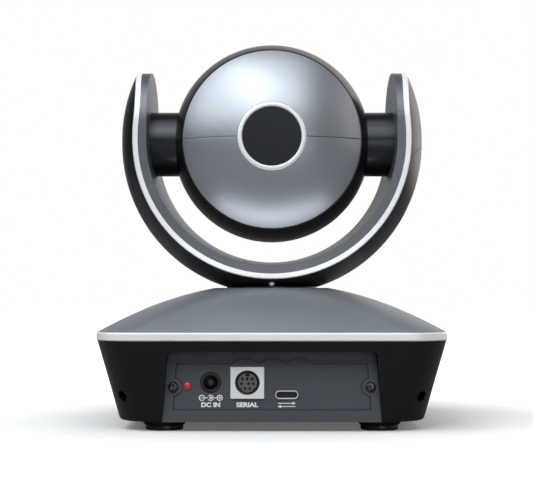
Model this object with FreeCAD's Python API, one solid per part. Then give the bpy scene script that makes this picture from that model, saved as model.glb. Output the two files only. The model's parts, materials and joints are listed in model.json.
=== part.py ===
"""Pan-tilt-zoom conference camera: a square base, a U-shaped yoke that pans and a ball head that tilts.

Frame: +Z up, origin on the surface the camera stands on, on the pan axis.  The lens looks along -Y at rest,
so the connector panel faces +Y.  Every length is in millimetres.
"""
import FreeCAD
import Part

import math
import os

V = FreeCAD.Vector
X_AXIS = V(1, 0, 0)
Y_AXIS = V(0, 1, 0)
Z_AXIS = V(0, 0, 1)
FAR = 400.0

# ---------------------------------------------------------------- driving sizes
# base
base_width = 138.0
base_depth = 124.0
base_corner = 16.0
foot_height = 3.7
rim_height = 35.5
band_height = 3.3
cover_rise = 17.4
wall_taper = 8.3
shell_wall = 2.4
bottom_round = 1.6
cover_wall = 2.2
plateau_radius = 24.0
plate_thickness = 2.0
# rear panel
panel_width_low = 86.0
panel_width_high = 81.5
panel_height = 27.7
panel_corner = 2.6
panel_thickness = 1.8
panel_pocket = 0.45
panel_screw_spacing = 77.0
panel_screw_height = 17.45
# ports, measured across the panel from the middle and up from the floor
dc_x, dc_height = 23.9, 19.2
serial_x, serial_height = 9.6, 19.1
usb_x, usb_height = -5.8, 14.4
led_x, led_height = 33.0, 17.7
# main board; the screw rows and the parts on it are measured ahead of its rear edge
board_gap = 1.2
board_half_width = 36.5
board_depth = 60.7
board_screw_x = 33.0
board_screw_rows = (54.7, 14.7)
# x, distance ahead, half width, half depth, height
chips = [(-14, 38.7, 8.5, 8.5, 1.6), (6, 40.7, 5.5, 7.0, 1.2), (6, 54.7, 5.5, 4.0, 1.2),
         (24, 36.7, 4.0, 4.0, 3.4), (24, 24.7, 4.0, 3.0, 1.6), (-28, 20.7, 3.5, 5.0, 1.4),
         (-12, 16.7, 5.0, 5.0, 1.2), (-26, 48.7, 3.0, 6.5, 4.2)]
# feet
foot_radius = 7.5
foot_holder_radius = 9.0
foot_pad_height = 2.0
foot_side_inset = 26.3
foot_end_inset = 20.0
# yoke
yoke_half_depth = 22.9
yoke_gap_rear = 10.0
yoke_gap_front = 8.1
yoke_edge_thickness = 5.4
yoke_bulge = 6.6
yoke_foot_cut = 3.1
yoke_top_lift = 7.4
yoke_straight = 1.8
yoke_skin = 1.85
yoke_trim_depth = 0.6
yoke_wall = 2.0
yoke_edge_wall = 1.2
yoke_floor = 3.5
seam_radius = 46.7
seam_top_drop = 1.4
# head
ball_radius = 41.9
ball_wall = 2.0
cap_edge_inset = 4.7
cap_edge_y = 23.2
cap_apex_inset = 4.1
cap_step = 0.4
cap_ring_radius = 13.9
cap_wall = 1.8
disc_radius = 12.0
front_opening_radius = 25.0
trunnion_radius = 13.65
# drive
pan_module, pan_teeth, pan_pinion_teeth = 0.7, 64, 16
tilt_module, tilt_teeth, tilt_pinion_teeth = 0.5, 56, 16
pressure_angle = math.radians(20.0)
backlash = 0.10
pan_hub_radius = 12.0
pan_hub_bore = 8.0
tilt_shaft_radius = 6.0
tilt_shaft_bore = 4.0
zoom_travel = 9.0
focus_travel = 5.0
# fits
fit_gap = 0.15
running_gap = 0.05
seam_gap = 0.2
turn_gap = 0.5

# ---------------------------------------------------------------- sizes that follow
foot_x = base_width / 2 - foot_side_inset
foot_y = base_depth / 2 - foot_end_inset
rim_top = rim_height + band_height
plateau_height = rim_top + cover_rise
yoke_bottom = plateau_height + turn_gap
yoke_inner_rear = ball_radius + yoke_gap_rear
yoke_inner_front = ball_radius + yoke_gap_front
yoke_edge_radius = yoke_inner_rear + yoke_edge_thickness
yoke_middle_radius = yoke_edge_radius + yoke_bulge
tilt_height = yoke_bottom + yoke_middle_radius - yoke_foot_cut
panel_y = base_depth / 2 - wall_taper
panel_top = foot_height + panel_height
board_top = usb_height - 1.7
board_rear = panel_y - panel_thickness - board_gap
board_thickness = 1.6
pan_centres = pan_module * (pan_teeth + pan_pinion_teeth) / 2
tilt_centres = tilt_module * (tilt_teeth + tilt_pinion_teeth) / 2
cap_edge_radius = ball_radius - cap_edge_inset
cap_foot_y = cap_edge_y + cap_step / 2
cap_foot_radius = cap_edge_radius - cap_step
cap_rise = ball_radius - cap_apex_inset - cap_foot_y
cap_radius = (cap_rise ** 2 + cap_foot_radius ** 2) / (2 * cap_rise)
cap_centre = ball_radius - cap_apex_inset - cap_radius
cap_ring_rear = cap_centre + math.sqrt(cap_radius ** 2 - cap_ring_radius ** 2)
band_radius = (cap_edge_inset ** 2 + cap_edge_y ** 2) / (2 * cap_edge_inset)
front_edge_y = -math.sqrt(ball_radius ** 2 - front_opening_radius ** 2)


# ---------------------------------------------------------------- helpers
def save(node, *solids):
    """Writes one node, as one solid or as a group of separate solids."""
    found = [s for shape in solids for s in shape.Solids]
    for s in found:
        if not s.isValid():
            print("not valid:", node)
    shape = found[0] if len(found) == 1 else Part.makeCompound(found)
    shape.exportStep("parts/%s.step" % node)
    print("%-22s %2d solid(s) %9.1f mm3" % (node, len(found), sum(s.Volume for s in found)))


def fuse(*shapes):
    """One shape from several that touch or overlap."""
    whole = shapes[0].multiFuse(list(shapes[1:]))
    return whole.removeSplitter()


def cyl(radius, start, end, axis, at=V(0, 0, 0)):
    """Cylinder along an axis between two positions on it; `at` moves the axis sideways."""
    return Part.makeCylinder(radius, end - start, at + axis * start, axis)


def tube(outer, inner, start, end, axis, at=V(0, 0, 0)):
    return cyl(outer, start, end, axis, at).cut(cyl(inner, start - 1, end + 1, axis, at))


def box(x0, x1, y0, y1, z0, z1):
    return Part.makeBox(x1 - x0, y1 - y0, z1 - z0, V(x0, y0, z0))


def outline(half_x, half_y, radius, z):
    """Rounded rectangle of four sides and four corner arcs, always started at the same place."""
    edges = []
    diagonal = radius * math.sqrt(0.5)
    for sx, sy, order in ((1, 1, 0), (-1, 1, 1), (-1, -1, 0), (1, -1, 1)):
        cx, cy = sx * (half_x - radius), sy * (half_y - radius)
        side_end = V(cx + sx * radius, cy, z)
        top_end = V(cx, cy + sy * radius, z)
        middle = V(cx + sx * diagonal, cy + sy * diagonal, z)
        first, last = (side_end, top_end) if order == 0 else (top_end, side_end)
        edges.append((first, middle, last))
    made = []
    for k, (first, middle, last) in enumerate(edges):
        made.append(Part.Arc(first, middle, last).toShape())
        made.append(Part.LineSegment(last, edges[(k + 1) % 4][0]).toShape())
    return Part.Wire(made)


def slab(half_x, half_y, radius, z0, z1):
    return Part.Face(outline(half_x, half_y, radius, z0)).extrude(V(0, 0, z1 - z0))


def turned(axis_point, axis, point_at, steps):
    """Solid turned about an axis.

    Steps are (along, radius) points; four numbers make an arc through the first pair.
    """
    edges = []
    here = point_at(*steps[0])
    for step in steps[1:] + [steps[0]]:
        there = point_at(*step[-2:])
        if len(step) == 4:
            edges.append(Part.Arc(here, point_at(*step[:2]), there).toShape())
        else:
            edges.append(Part.LineSegment(here, there).toShape())
        here = there
    face = Part.Face(Part.Wire(edges))
    return face.revolve(axis_point, axis, 360)


def dome(apex, edge, radius):
    """Point halfway along the arc from a dome's apex on the axis to its edge, its centre on the axis."""
    centre = (edge ** 2 + radius ** 2 - apex ** 2) / (2 * (edge - apex))
    reach = abs(apex - centre)
    half = math.asin(radius / reach) / 2
    way = 1 if apex > centre else -1
    return centre + way * reach * math.cos(half), reach * math.sin(half)


def turned_y(steps):
    """Turned about the lens axis; steps are (y, radius)."""
    return turned(V(0, 0, tilt_height), Y_AXIS, lambda y, r: V(0, y, tilt_height + r), steps)


def turned_z(steps, x=0.0, y=0.0):
    """Turned about an upright axis; steps are (z, radius)."""
    return turned(V(x, y, 0), Z_AXIS, lambda z, r: V(x + r, y, z), steps)


def prism(points, direction):
    return Part.Face(Part.makePolygon(points + [points[0]])).extrude(direction)


def mirrored_x(shape):
    return shape.mirror(V(0, 0, 0), X_AXIS)


def gear_outline(module, teeth, first_gap):
    """Involute spur gear with stub teeth, in the XY plane; a tooth, or a gap, is centred on +X."""
    pitch = module * teeth / 2
    base = pitch * math.cos(pressure_angle)
    tip = pitch + 0.8 * module
    root = pitch - 1.05 * module
    half_tooth = (math.pi * module / 2 - backlash) / 2 / pitch
    involute = math.tan(pressure_angle) - pressure_angle
    flank = []
    low = max(base, root)
    for k in range(5):
        r = low + (tip - low) * k / 4
        a = math.acos(min(1.0, base / r))
        flank.append((r, half_tooth + involute - (math.tan(a) - a)))
    if root < base:
        flank.insert(0, (root, flank[0][1]))
    points = []
    turn = 2 * math.pi / teeth
    for tooth in range(teeth):
        middle = turn * (tooth + (0.5 if first_gap else 0.0))
        for r, half in flank:
            points.append((r, middle - half))
        for r, half in reversed(flank):
            points.append((r, middle + half))
    return [(r * math.cos(a), r * math.sin(a)) for r, a in points]


def phillips(radius, depth):
    """Cross recess that cuts a screw head whose top is at z 0."""
    arm = radius * 0.62
    half = radius * 0.13
    return fuse(box(-arm, arm, -half, half, -depth, 1), box(-half, half, -arm, arm, -depth, 1))


def screw(head_radius, head_height, shank_radius, length):
    """Pan-head screw along -Z, its bearing face at z 0."""
    dome = turned_z([(0, 0), (0, head_radius), (head_height * 0.55, head_radius),
                     (head_height * 0.88, head_radius * 0.8, head_height, head_radius * 0.45),
                     (head_height, 0)])
    cross = phillips(head_radius, head_height * 0.6)
    cross.translate(V(0, 0, head_height))
    return fuse(dome, cyl(shank_radius, -length, 0, Z_AXIS)).cut(cross)


def placed(shape, position, direction):
    """The shape moved so that its +Z lies along a direction."""
    copy = shape.copy()
    copy.Placement = FreeCAD.Placement(position, FreeCAD.Rotation(Z_AXIS, direction)).multiply(copy.Placement)
    return copy


# ---------------------------------------------------------------- base
def base_taper(offset, z0, z1):
    """Tapered block of the lower housing, drawn in by an offset, between two heights."""
    def section(z):
        share = (rim_height - z) / (rim_height - foot_height)
        inset = wall_taper * share + offset
        return outline(base_width / 2 - inset, base_depth / 2 - inset, base_corner - offset, z)
    return Part.makeLoft([section(z0), section(z1)], True, True)


def corner_arc(corner, before, after, radius):
    """Arc that rounds a corner of an upright outline: first tangent point, middle and last tangent point."""
    back = (before - corner).normalize()
    ahead = (after - corner).normalize()
    half = back.getAngle(ahead) / 2
    reach = radius / math.tan(half)
    inward = (back + ahead).normalize()
    centre = corner + inward * (radius / math.sin(half))
    return corner + back * reach, centre - inward * radius, corner + ahead * reach


def panel_shape(grow, y0, y1):
    """Upright block with the rear panel's outline, open at the foot of the housing."""
    half_low = panel_width_low / 2 + grow
    half_high = panel_width_high / 2 + grow
    spread = (half_low - half_high) / panel_height * 2.0
    low = foot_height - 2.0
    top = panel_top + grow
    right_low = V(half_low + spread, y0, low)
    left_low = V(-half_low - spread, y0, low)
    right_high = V(half_high, y0, top)
    left_high = V(-half_high, y0, top)
    radius = panel_corner + grow
    first = corner_arc(right_high, right_low, left_high, radius)
    second = corner_arc(left_high, right_high, left_low, radius)
    edges = [Part.LineSegment(left_low, right_low).toShape(),
             Part.LineSegment(right_low, first[0]).toShape(),
             Part.Arc(*first).toShape(),
             Part.LineSegment(first[2], second[0]).toShape(),
             Part.Arc(*second).toShape(),
             Part.LineSegment(second[2], left_low).toShape()]
    return Part.Face(Part.Wire(edges)).extrude(V(0, y1 - y0, 0))


def corner_hole_axis():
    """Point and outward direction of the security hole in the rear right corner of the housing."""
    height = 13.6
    share = (rim_height - height) / (rim_height - foot_height)
    inset = wall_taper * share
    reach = base_corner * math.sqrt(0.5)
    step_in = inset + base_corner - reach
    point = V(base_width / 2 - step_in, base_depth / 2 - step_in, height)
    lean = wall_taper / (rim_height - foot_height)
    outward = V(1, 1, 0).normalize() + V(0, 0, -lean)
    return point, outward.normalize()


def base_shell():
    outer = base_taper(0.0, foot_height, rim_height)
    bottom_edges = [e for e in outer.Edges if all(abs(v.Point.z - foot_height) < 1e-6 for v in e.Vertexes)]
    outer = outer.makeFillet(bottom_round, bottom_edges)
    inner = base_taper(shell_wall, foot_height, rim_height)
    lip = base_taper(shell_wall, foot_height + plate_thickness, foot_height + plate_thickness + 1.6)
    lip = lip.cut(base_taper(shell_wall + 2.2, foot_height, rim_height))
    shell = fuse(outer.cut(inner), lip)
    frame = panel_shape(2.0, panel_y - panel_thickness - 3.0, FAR).common(outer)
    shell = fuse(shell, frame)
    shell = shell.cut(panel_shape(0.0, panel_y - panel_thickness - 3.01, FAR))
    # lugs behind the panel take its two screws
    for side in (-1, 1):
        x = side * panel_screw_spacing / 2
        lug = box(min(x - side * 3, x + side * 5.4), max(x - side * 3, x + side * 5.4),
                  panel_y - panel_thickness - 3.0, panel_y - panel_thickness,
                  panel_screw_height - 4.0, panel_screw_height + 4.0)
        shell = fuse(shell, lug)
        shell = shell.cut(cyl(0.8, panel_y - 9, panel_y, Y_AXIS, V(x, 0, panel_screw_height)))
    point, outward = corner_hole_axis()
    for side in (-1, 1):
        mouth = V(side * point.x, point.y, point.z)
        way = V(side * outward.x, outward.y, outward.z)
        boss = Part.makeCylinder(4.6, 8.0, mouth - way * 8.0, way).common(outer)
        shell = fuse(shell, boss)
        shell = shell.cut(Part.makeCylinder(security_hole_radius, 7.5, mouth - way * 6.0, way))
    window = slab(ir_half_width, 6.0, 3.0, 0, 20)
    window.rotate(V(0, 0, 0), X_AXIS, 90)
    window.translate(V(0, -base_depth / 2 + 15, ir_height))
    return shell.cut(window)


security_hole_radius = 2.3
ir_half_width = 13.0
ir_height = 21.0


def base_plate():
    plate = base_taper(shell_wall + fit_gap, foot_height, foot_height + plate_thickness)
    plate = plate.cut(panel_shape(2.0 + fit_gap, panel_y - panel_thickness - 3.0 - fit_gap, FAR))
    for x, y in foot_places():
        plate = plate.cut(cyl(2.0, 0, 10, Z_AXIS, V(x, y, 0)))
    for x, y in post_places():
        plate = plate.cut(cyl(1.6, 0, 10, Z_AXIS, V(x, y, 0)))
    bosses = [cyl(2.6, foot_height + plate_thickness, board_top - board_thickness, Z_AXIS, V(x, y, 0))
              for x, y in board_screw_places()]
    plate = fuse(plate, *bosses)
    for x, y in board_screw_places():
        plate = plate.cut(cyl(0.9, foot_height + plate_thickness, 20, Z_AXIS, V(x, y, 0)))
    return plate.cut(cyl(tripod_body_radius, 0, 10, Z_AXIS))


tripod_body_radius = 5.5
tripod_hole_radius = 2.6
tripod_depth = 6.0


def tripod_insert():
    bottom = foot_height
    flange_top = foot_height + plate_thickness + 1.2
    body = fuse(cyl(tripod_body_radius, bottom, bottom + 7.2, Z_AXIS),
                cyl(tripod_body_radius + 2.2, foot_height + plate_thickness, flange_top, Z_AXIS))
    return body.cut(cyl(tripod_hole_radius, bottom - 1, bottom + tripod_depth, Z_AXIS))


def foot_places():
    return [(sx * foot_x, sy * foot_y) for sx in (-1, 1) for sy in (-1, 1)]


def post_places():
    x = base_width / 2 - 26.5
    y = base_depth / 2 - 35.0
    return [(sx * x, sy * y) for sx in (-1, 1) for sy in (-1, 1)]


def board_screw_places():
    return [(sx * board_screw_x, board_rear - ahead) for ahead in board_screw_rows for sx in (-1, 1)]


def foot_holders():
    made = []
    for x, y in foot_places():
        cup = turned_z([(foot_pad_height, 0), (foot_pad_height, foot_radius + 0.4),
                        (foot_height, foot_holder_radius), (foot_height, 0)], x, y)
        stem = cyl(1.9, foot_height, foot_height + plate_thickness + 0.8, Z_AXIS, V(x, y, 0))
        made.append(fuse(cup, stem).cut(cyl(foot_radius - 1.5, 0, foot_pad_height + 0.8, Z_AXIS, V(x, y, 0))))
    return made


def foot_pads():
    made = []
    for x, y in foot_places():
        plug_radius = foot_radius - 1.5 - fit_gap
        pad = turned_z([(0, 0), (0, foot_radius - 0.5), (0.5, foot_radius), (foot_pad_height, foot_radius),
                        (foot_pad_height, plug_radius), (foot_pad_height + 0.7, plug_radius),
                        (foot_pad_height + 0.7, 0)], x, y)
        made.append(pad)
    return made


def base_trim_band():
    proud = 0.3
    bevel = 0.35
    half_x, half_y = base_width / 2 + proud, base_depth / 2 + proud
    corner = base_corner + proud
    middle = slab(half_x, half_y, corner, rim_height + bevel, rim_top - bevel)
    low = Part.makeLoft([outline(half_x - bevel, half_y - bevel, corner - bevel, rim_height),
                         outline(half_x, half_y, corner, rim_height + bevel)], True, True)
    high = Part.makeLoft([outline(half_x, half_y, corner, rim_top - bevel),
                          outline(half_x - bevel, half_y - bevel, corner - bevel, rim_top)], True, True)
    whole = fuse(low, middle, high)
    inset = shell_wall
    return whole.cut(slab(base_width / 2 - inset, base_depth / 2 - inset, base_corner - inset,
                          rim_height - 1, rim_top + 1))


def cover_block(offset, drop):
    """Domed block of the top cover, drawn in by an offset and lowered by a drop, over a rounded rectangle."""
    sections = []
    steps = 5
    slope_low, slope_high = 0.52, 0.16
    mean_slope = (slope_low + slope_high) / 2
    for k in range(steps):
        u = k / (steps - 1)
        rise = (slope_low * u - (slope_low - slope_high) * u * u / 2) / mean_slope
        half_x = base_width / 2 + (plateau_radius - base_width / 2) * u - offset
        half_y = base_depth / 2 + (plateau_radius - base_depth / 2) * u - offset
        corner = base_corner + (plateau_radius * 0.97 - base_corner) * u - offset
        sections.append(outline(half_x, half_y, corner, rim_top + cover_rise * rise - drop * u))
    return Part.makeLoft(sections, True, False)


def base_top_cover():
    cover = cover_block(0.0, 0.0).cut(cover_block(cover_wall, cover_wall))
    cover = cover.cut(cyl(pan_hub_radius + 1.0, 0, FAR, Z_AXIS))
    return cover


def rear_panel():
    plate = panel_shape(-fit_gap, panel_y - panel_thickness, panel_y)
    plate = plate.cut(box(-FAR, FAR, 0, FAR, 0, foot_height))
    plate = plate.cut(panel_pocket_block())
    y0, y1 = panel_y - 20, panel_y + 5
    for side in (-1, 1):
        plate = plate.cut(cyl(1.1, y0, y1, Y_AXIS, V(side * panel_screw_spacing / 2, 0, panel_screw_height)))
    plate = plate.cut(cyl(4.0 + fit_gap, y0, y1, Y_AXIS, V(dc_x, 0, dc_height)))
    plate = plate.cut(box(serial_x - serial_half_x - fit_gap, serial_x + serial_half_x + fit_gap, y0, y1,
                          serial_height - serial_half_z - fit_gap, serial_height + serial_half_z + fit_gap))
    plate = plate.cut(stadium(4.55 + fit_gap, 1.8 + fit_gap, y0, y1, usb_x, usb_height))
    return plate.cut(cyl(1.5 + 0.05, y0, y1, Y_AXIS, V(led_x, 0, led_height)))


def panel_pocket_block():
    """Shallow pocket of the panel: slanting sides, three bumps along the top and a land round each screw."""
    floor_y = panel_y - panel_pocket
    low, high = foot_height + 4.6, foot_height + 23.1
    half_low, half_high = 38.9, 37.5
    bump_radius, bump_rise, bump_pitch = 7.6, 2.1, 10.45
    block = prism([V(-half_low, floor_y, low), V(half_low, floor_y, low),
                   V(half_high, floor_y, high), V(-half_high, floor_y, high)], V(0, 5, 0))
    bump_z = high + bump_rise - bump_radius
    bumps = [cyl(bump_radius, floor_y, floor_y + 5, Y_AXIS, V(k * bump_pitch, 0, bump_z)) for k in (-1, 0, 1)]
    above = box(-FAR, FAR, floor_y, floor_y + 5, (low + high) / 2, FAR)
    block = fuse(block, *[b.common(above) for b in bumps])
    for side in (-1, 1):
        at = V(side * panel_screw_spacing / 2, 0, panel_screw_height)
        block = block.cut(cyl(3.4, floor_y - 1, floor_y + 6, Y_AXIS, at))
    return block


serial_half_x = 6.6
serial_half_z = 6.2


def stadium(half_x, half_z, y0, y1, x, z):
    """Block with rounded ends, standing in the panel plane."""
    return fuse(box(x - half_x + half_z, x + half_x - half_z, y0, y1, z - half_z, z + half_z),
                cyl(half_z, y0, y1, Y_AXIS, V(x - half_x + half_z, 0, z)),
                cyl(half_z, y0, y1, Y_AXIS, V(x + half_x - half_z, 0, z)))


def rear_panel_screws():
    one = screw(1.95, 1.3, 0.75, 5.0)
    return [placed(one, V(side * panel_screw_spacing / 2, panel_y, panel_screw_height), Y_AXIS)
            for side in (-1, 1)]


def dc_jack():
    front = panel_y - 0.2
    at = V(dc_x, 0, dc_height)
    body = fuse(cyl(4.0, front - 4.0, front, Y_AXIS, at),
                box(dc_x - 4.5, dc_x + 4.5, front - 14.0, front - 3.4, board_top, dc_height + 4.8))
    return body.cut(cyl(2.8, front - 9.5, front + 1, Y_AXIS, at))


def dc_jack_pin():
    front = panel_y - 0.2
    at = V(dc_x, 0, dc_height)
    pin = fuse(cyl(1.05, front - 9.5, front - 1.4, Y_AXIS, at))
    return pin.cut(cyl(0.45, front - 3.0, front, Y_AXIS, at))


def serial_socket_shell():
    front = panel_y + 0.35
    back = panel_y - panel_thickness - fit_gap
    body = fuse(box(serial_x - serial_half_x, serial_x + serial_half_x, front - 13.0, back, board_top,
                    serial_height + serial_half_z),
                box(serial_x - serial_half_x, serial_x + serial_half_x, back - 1.0, front,
                    serial_height - serial_half_z, serial_height + serial_half_z))
    return body.cut(cyl(4.8, front - 9.0, front + 1, Y_AXIS, V(serial_x, 0, serial_height)))


def serial_socket_insert():
    """Eight-hole insert with its key slot above and two side keys."""
    front = panel_y + 0.35 - 1.2
    at = V(serial_x, 0, serial_height)
    insert = cyl(3.75, front - 7.8, front, Y_AXIS, at)
    insert = fuse(insert, cyl(4.8 - running_gap, front - 7.8, front - 4.5, Y_AXIS, at))
    insert = insert.cut(box(serial_x - 0.75, serial_x + 0.75, front - 3, front + 1,
                            serial_height + 2.5, serial_height + 5))
    for x in (serial_x - 2.75, serial_x + 2.75):
        insert = insert.cut(box(x - 0.45, x + 0.45, front - 3, front + 1,
                                serial_height - 3.6, serial_height - 2.2))
    holes = [(-1.9, 1.45), (0, 1.45), (1.9, 1.45), (-2.3, -0.45), (-0.5, -0.45), (2.3, -0.45),
             (-0.95, -2.35), (0.95, -2.35)]
    for dx, dz in holes:
        insert = insert.cut(cyl(0.5, front - 3.5, front + 1, Y_AXIS, at + V(dx, 0, dz)))
    return insert


def usb_c_shell():
    front = panel_y + 0.25
    shell = stadium(4.5, 1.65, front - 8.5, front, usb_x, usb_height)
    return shell.cut(stadium(4.17, 1.28, front - 7.3, front + 1, usb_x, usb_height))


def usb_c_tongue():
    front = panel_y + 0.25
    return box(usb_x - 3.3, usb_x + 3.3, front - 7.3, front - 0.9, usb_height - 0.35, usb_height + 0.35)


def status_led():
    at = V(led_x, 0, led_height)
    lamp = turned(at, Y_AXIS, lambda y, r: V(led_x, y, led_height + r),
                  [(panel_y - 4.5, 0), (panel_y - 4.5, 1.9), (panel_y - panel_thickness - 0.1, 1.9),
                   (panel_y - panel_thickness - 0.1, 1.5), (panel_y + 0.1, 1.5),
                   (*dome(panel_y + 0.55, panel_y + 0.1, 1.5), panel_y + 0.55, 0)])
    return lamp


def main_board():
    board = box(-board_half_width, board_half_width, board_rear - board_depth, board_rear,
                board_top - board_thickness, board_top)
    for x, y in board_screw_places():
        board = board.cut(cyl(1.1, 0, FAR, Z_AXIS, V(x, y, 0)))
    return board


def board_chips():
    """Processor with its heat spreader, memory, converters, coils and header on the main board."""
    made = []
    for x, ahead, half_x, half_y, height in chips:
        y = board_rear - ahead
        made.append(box(x - half_x, x + half_x, y - half_y, y + half_y, board_top, board_top + height))
    return made


def board_screws():
    one = screw(1.9, 1.2, 0.85, 4.0)
    return [placed(one, V(x, y, board_top), Z_AXIS) for x, y in board_screw_places()]


chassis_low = 36.0
chassis_thickness = 2.0


def chassis_posts():
    made = []
    for x, y in post_places():
        post = cyl(3.4, foot_height + plate_thickness, chassis_low, Z_AXIS, V(x, y, 0))
        post = post.cut(cyl(1.25, 0, foot_height + plate_thickness + 9, Z_AXIS, V(x, y, 0)))
        made.append(post.cut(cyl(1.25, chassis_low - 6, chassis_low + 1, Z_AXIS, V(x, y, 0))))
    return made


def base_screws():
    """Four screws up through the plate and four down through the chassis, into the posts."""
    up = screw(2.7, 1.6, 1.2, 8.0)
    down = screw(2.4, 1.5, 1.2, chassis_thickness + 5.0)
    low = [placed(up, V(x, y, foot_height), V(0, 0, -1)) for x, y in post_places()]
    high = [placed(down, V(x, y, chassis_low + chassis_thickness), Z_AXIS) for x, y in post_places()]
    return low + high


bearing_low = chassis_low
bearing_high = bearing_low + 6.0
bearing_ball_radius = 1.5
bearing_ball_circle = pan_hub_radius + 3.4
bearing_outer = bearing_ball_circle + 3.4


def pan_chassis():
    """Plate across the base with the bearing seat in its middle and the motor hung under it."""
    x, y = post_places()[-1]
    plate = slab(x + 5.0, y + 5.0, 5.0, chassis_low, chassis_low + chassis_thickness)
    nose = slab(pan_can_radius + 5.0, 12.0, 5.0, chassis_low, chassis_low + chassis_thickness)
    nose.translate(V(0, -y - 10.0, 0))
    seat = cyl(bearing_outer + 2.4, chassis_low, bearing_high, Z_AXIS)
    plate = fuse(plate, nose, seat)
    plate = plate.cut(cyl(bearing_outer, chassis_low + 0.8, FAR, Z_AXIS))
    plate = plate.cut(cyl(bearing_ball_circle + 1.4, 0, FAR, Z_AXIS))
    plate = plate.cut(cyl(4.0 + fit_gap, 0, FAR, Z_AXIS, V(0, -pan_centres, 0)))
    for px, py in post_places():
        plate = plate.cut(cyl(1.4, 0, FAR, Z_AXIS, V(px, py, 0)))
    for px in motor_screw_x():
        plate = plate.cut(cyl(1.2, 0, FAR, Z_AXIS, V(px, -pan_centres - 6.0, 0)))
    return plate


def race(radius_in, radius_out):
    ring = tube(radius_out, radius_in, chassis_low + 0.8, bearing_high, Z_AXIS)
    middle = (chassis_low + 0.8 + bearing_high) / 2
    groove = Part.makeTorus(bearing_ball_circle, bearing_ball_radius + running_gap, V(0, 0, middle), Z_AXIS)
    return ring.cut(groove)


def pan_bearing_balls():
    middle = (chassis_low + 0.8 + bearing_high) / 2
    count = 14
    made = []
    for k in range(count):
        a = 2 * math.pi * k / count
        made.append(Part.makeSphere(bearing_ball_radius, V(bearing_ball_circle * math.cos(a),
                                                           bearing_ball_circle * math.sin(a), middle)))
    return made


pan_can_radius = pan_centres - pan_hub_radius - turn_gap
pan_motor_length = 15.5


def motor_screw_x():
    return (-pan_can_radius - 6.0, pan_can_radius + 6.0)


def pan_motor():
    at = V(0, -pan_centres, 0)
    top = chassis_low
    can = cyl(pan_can_radius, top - pan_motor_length, top - 1.0, Z_AXIS, at)
    ears = slab(pan_can_radius + 9.0, 4.0, 3.9, top - 1.0, top)
    ears.translate(at + V(0, -6.0, 0))
    flange = cyl(pan_can_radius, top - 1.0, top, Z_AXIS, at)
    boss = cyl(4.0, top, top + 1.2, Z_AXIS, at)
    body = fuse(can, ears, flange, boss).cut(cyl(1.5 + running_gap, top - 12, FAR, Z_AXIS, at))
    for px in motor_screw_x():
        body = body.cut(cyl(1.2, 0, FAR, Z_AXIS, V(px, -pan_centres - 6.0, 0)))
    return body


def motor_screws():
    one = screw(2.2, 1.4, 1.1, chassis_thickness + 1.6)
    return [placed(one, V(px, -pan_centres - 6.0, chassis_low + chassis_thickness), Z_AXIS)
            for px in motor_screw_x()]


gear_low = bearing_high + 1.6
gear_high = gear_low + 4.0


def pan_gear():
    points = gear_outline(pan_module, pan_teeth, False)
    # a tooth points along -Y, towards the motor
    ring = prism([V(y, -x, gear_low) for x, y in points], V(0, 0, gear_high - gear_low))
    ring = ring.cut(cyl(pan_hub_radius, 0, FAR, Z_AXIS))
    ring = ring.cut(tube(19.0, 15.5, gear_low + 1.6, FAR, Z_AXIS))
    flag = cyl(26.0, gear_low - 0.9, gear_low, Z_AXIS).cut(cyl(pan_hub_radius, 0, FAR, Z_AXIS))
    wedge = prism([V(0, 0, 0), V(8, 40, 0), V(-8, 40, 0)], V(0, 0, FAR))
    disc = tube(16.0, pan_hub_radius, gear_low - 0.9, gear_low, Z_AXIS)
    return fuse(ring, disc, flag.common(wedge))


def pan_home_sensor():
    """Forked light barrier that the gear's flag passes through."""
    low = chassis_low + chassis_thickness
    flag_z = gear_low - 0.45
    block = box(-4.0, 4.0, 23.6, 30.0, low, flag_z + 2.6)
    block = block.cut(box(-10, 10, 20.0, 27.4, flag_z - 1.2, flag_z + 1.2))
    return block.cut(box(-10, 10, 20.0, 24.4, flag_z, FAR))


def pan_pinion():
    at = V(0, -pan_centres, 0)
    points = gear_outline(pan_module, pan_pinion_teeth, True)
    wheel = prism([V(y, x - pan_centres, gear_low) for x, y in points], V(0, 0, gear_high - gear_low))
    shaft = cyl(1.5, chassis_low - 11.0, gear_high + 0.8, Z_AXIS, at)
    return fuse(wheel, shaft)


def ir_window():
    """Dark lens in the front wall for the remote control's receiver, curved back with the wall."""
    outer = base_taper(-0.25, foot_height, rim_height)
    inner = base_taper(1.3, foot_height, rim_height)
    block = slab(ir_half_width - 0.1, 5.9, 2.9, 0, 20)
    block.rotate(V(0, 0, 0), X_AXIS, 90)
    block.translate(V(0, -base_depth / 2 + 15, ir_height))
    return block.common(outer).cut(inner)


# ---------------------------------------------------------------- yoke
def barrel(offset):
    """Bulged drum about the crossing of the tilt and lens axes, its upper half lifted by a short straight."""
    d = yoke_half_depth
    edge, middle = yoke_edge_radius - offset, yoke_middle_radius - offset
    z = tilt_height
    front, rear = V(edge, -d, z), V(edge, d, z)
    outline_edges = [Part.LineSegment(V(0, -d, z), front).toShape(),
                     Part.Arc(front, V(middle, 0, z), rear).toShape(),
                     Part.LineSegment(rear, V(0, d, z)).toShape(),
                     Part.LineSegment(V(0, d, z), V(0, -d, z)).toShape()]
    face = Part.Face(Part.Wire(outline_edges))
    centre = V(0, 0, z)
    lower = face.revolve(centre, Y_AXIS, 180)
    other = mirrored_x(face)
    straight = fuse(face.extrude(V(0, 0, yoke_straight)), other.extrude(V(0, 0, yoke_straight)))
    upper = face.revolve(centre, Y_AXIS, -180)
    upper.translate(V(0, 0, yoke_straight))
    return fuse(lower, straight, upper)


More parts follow.
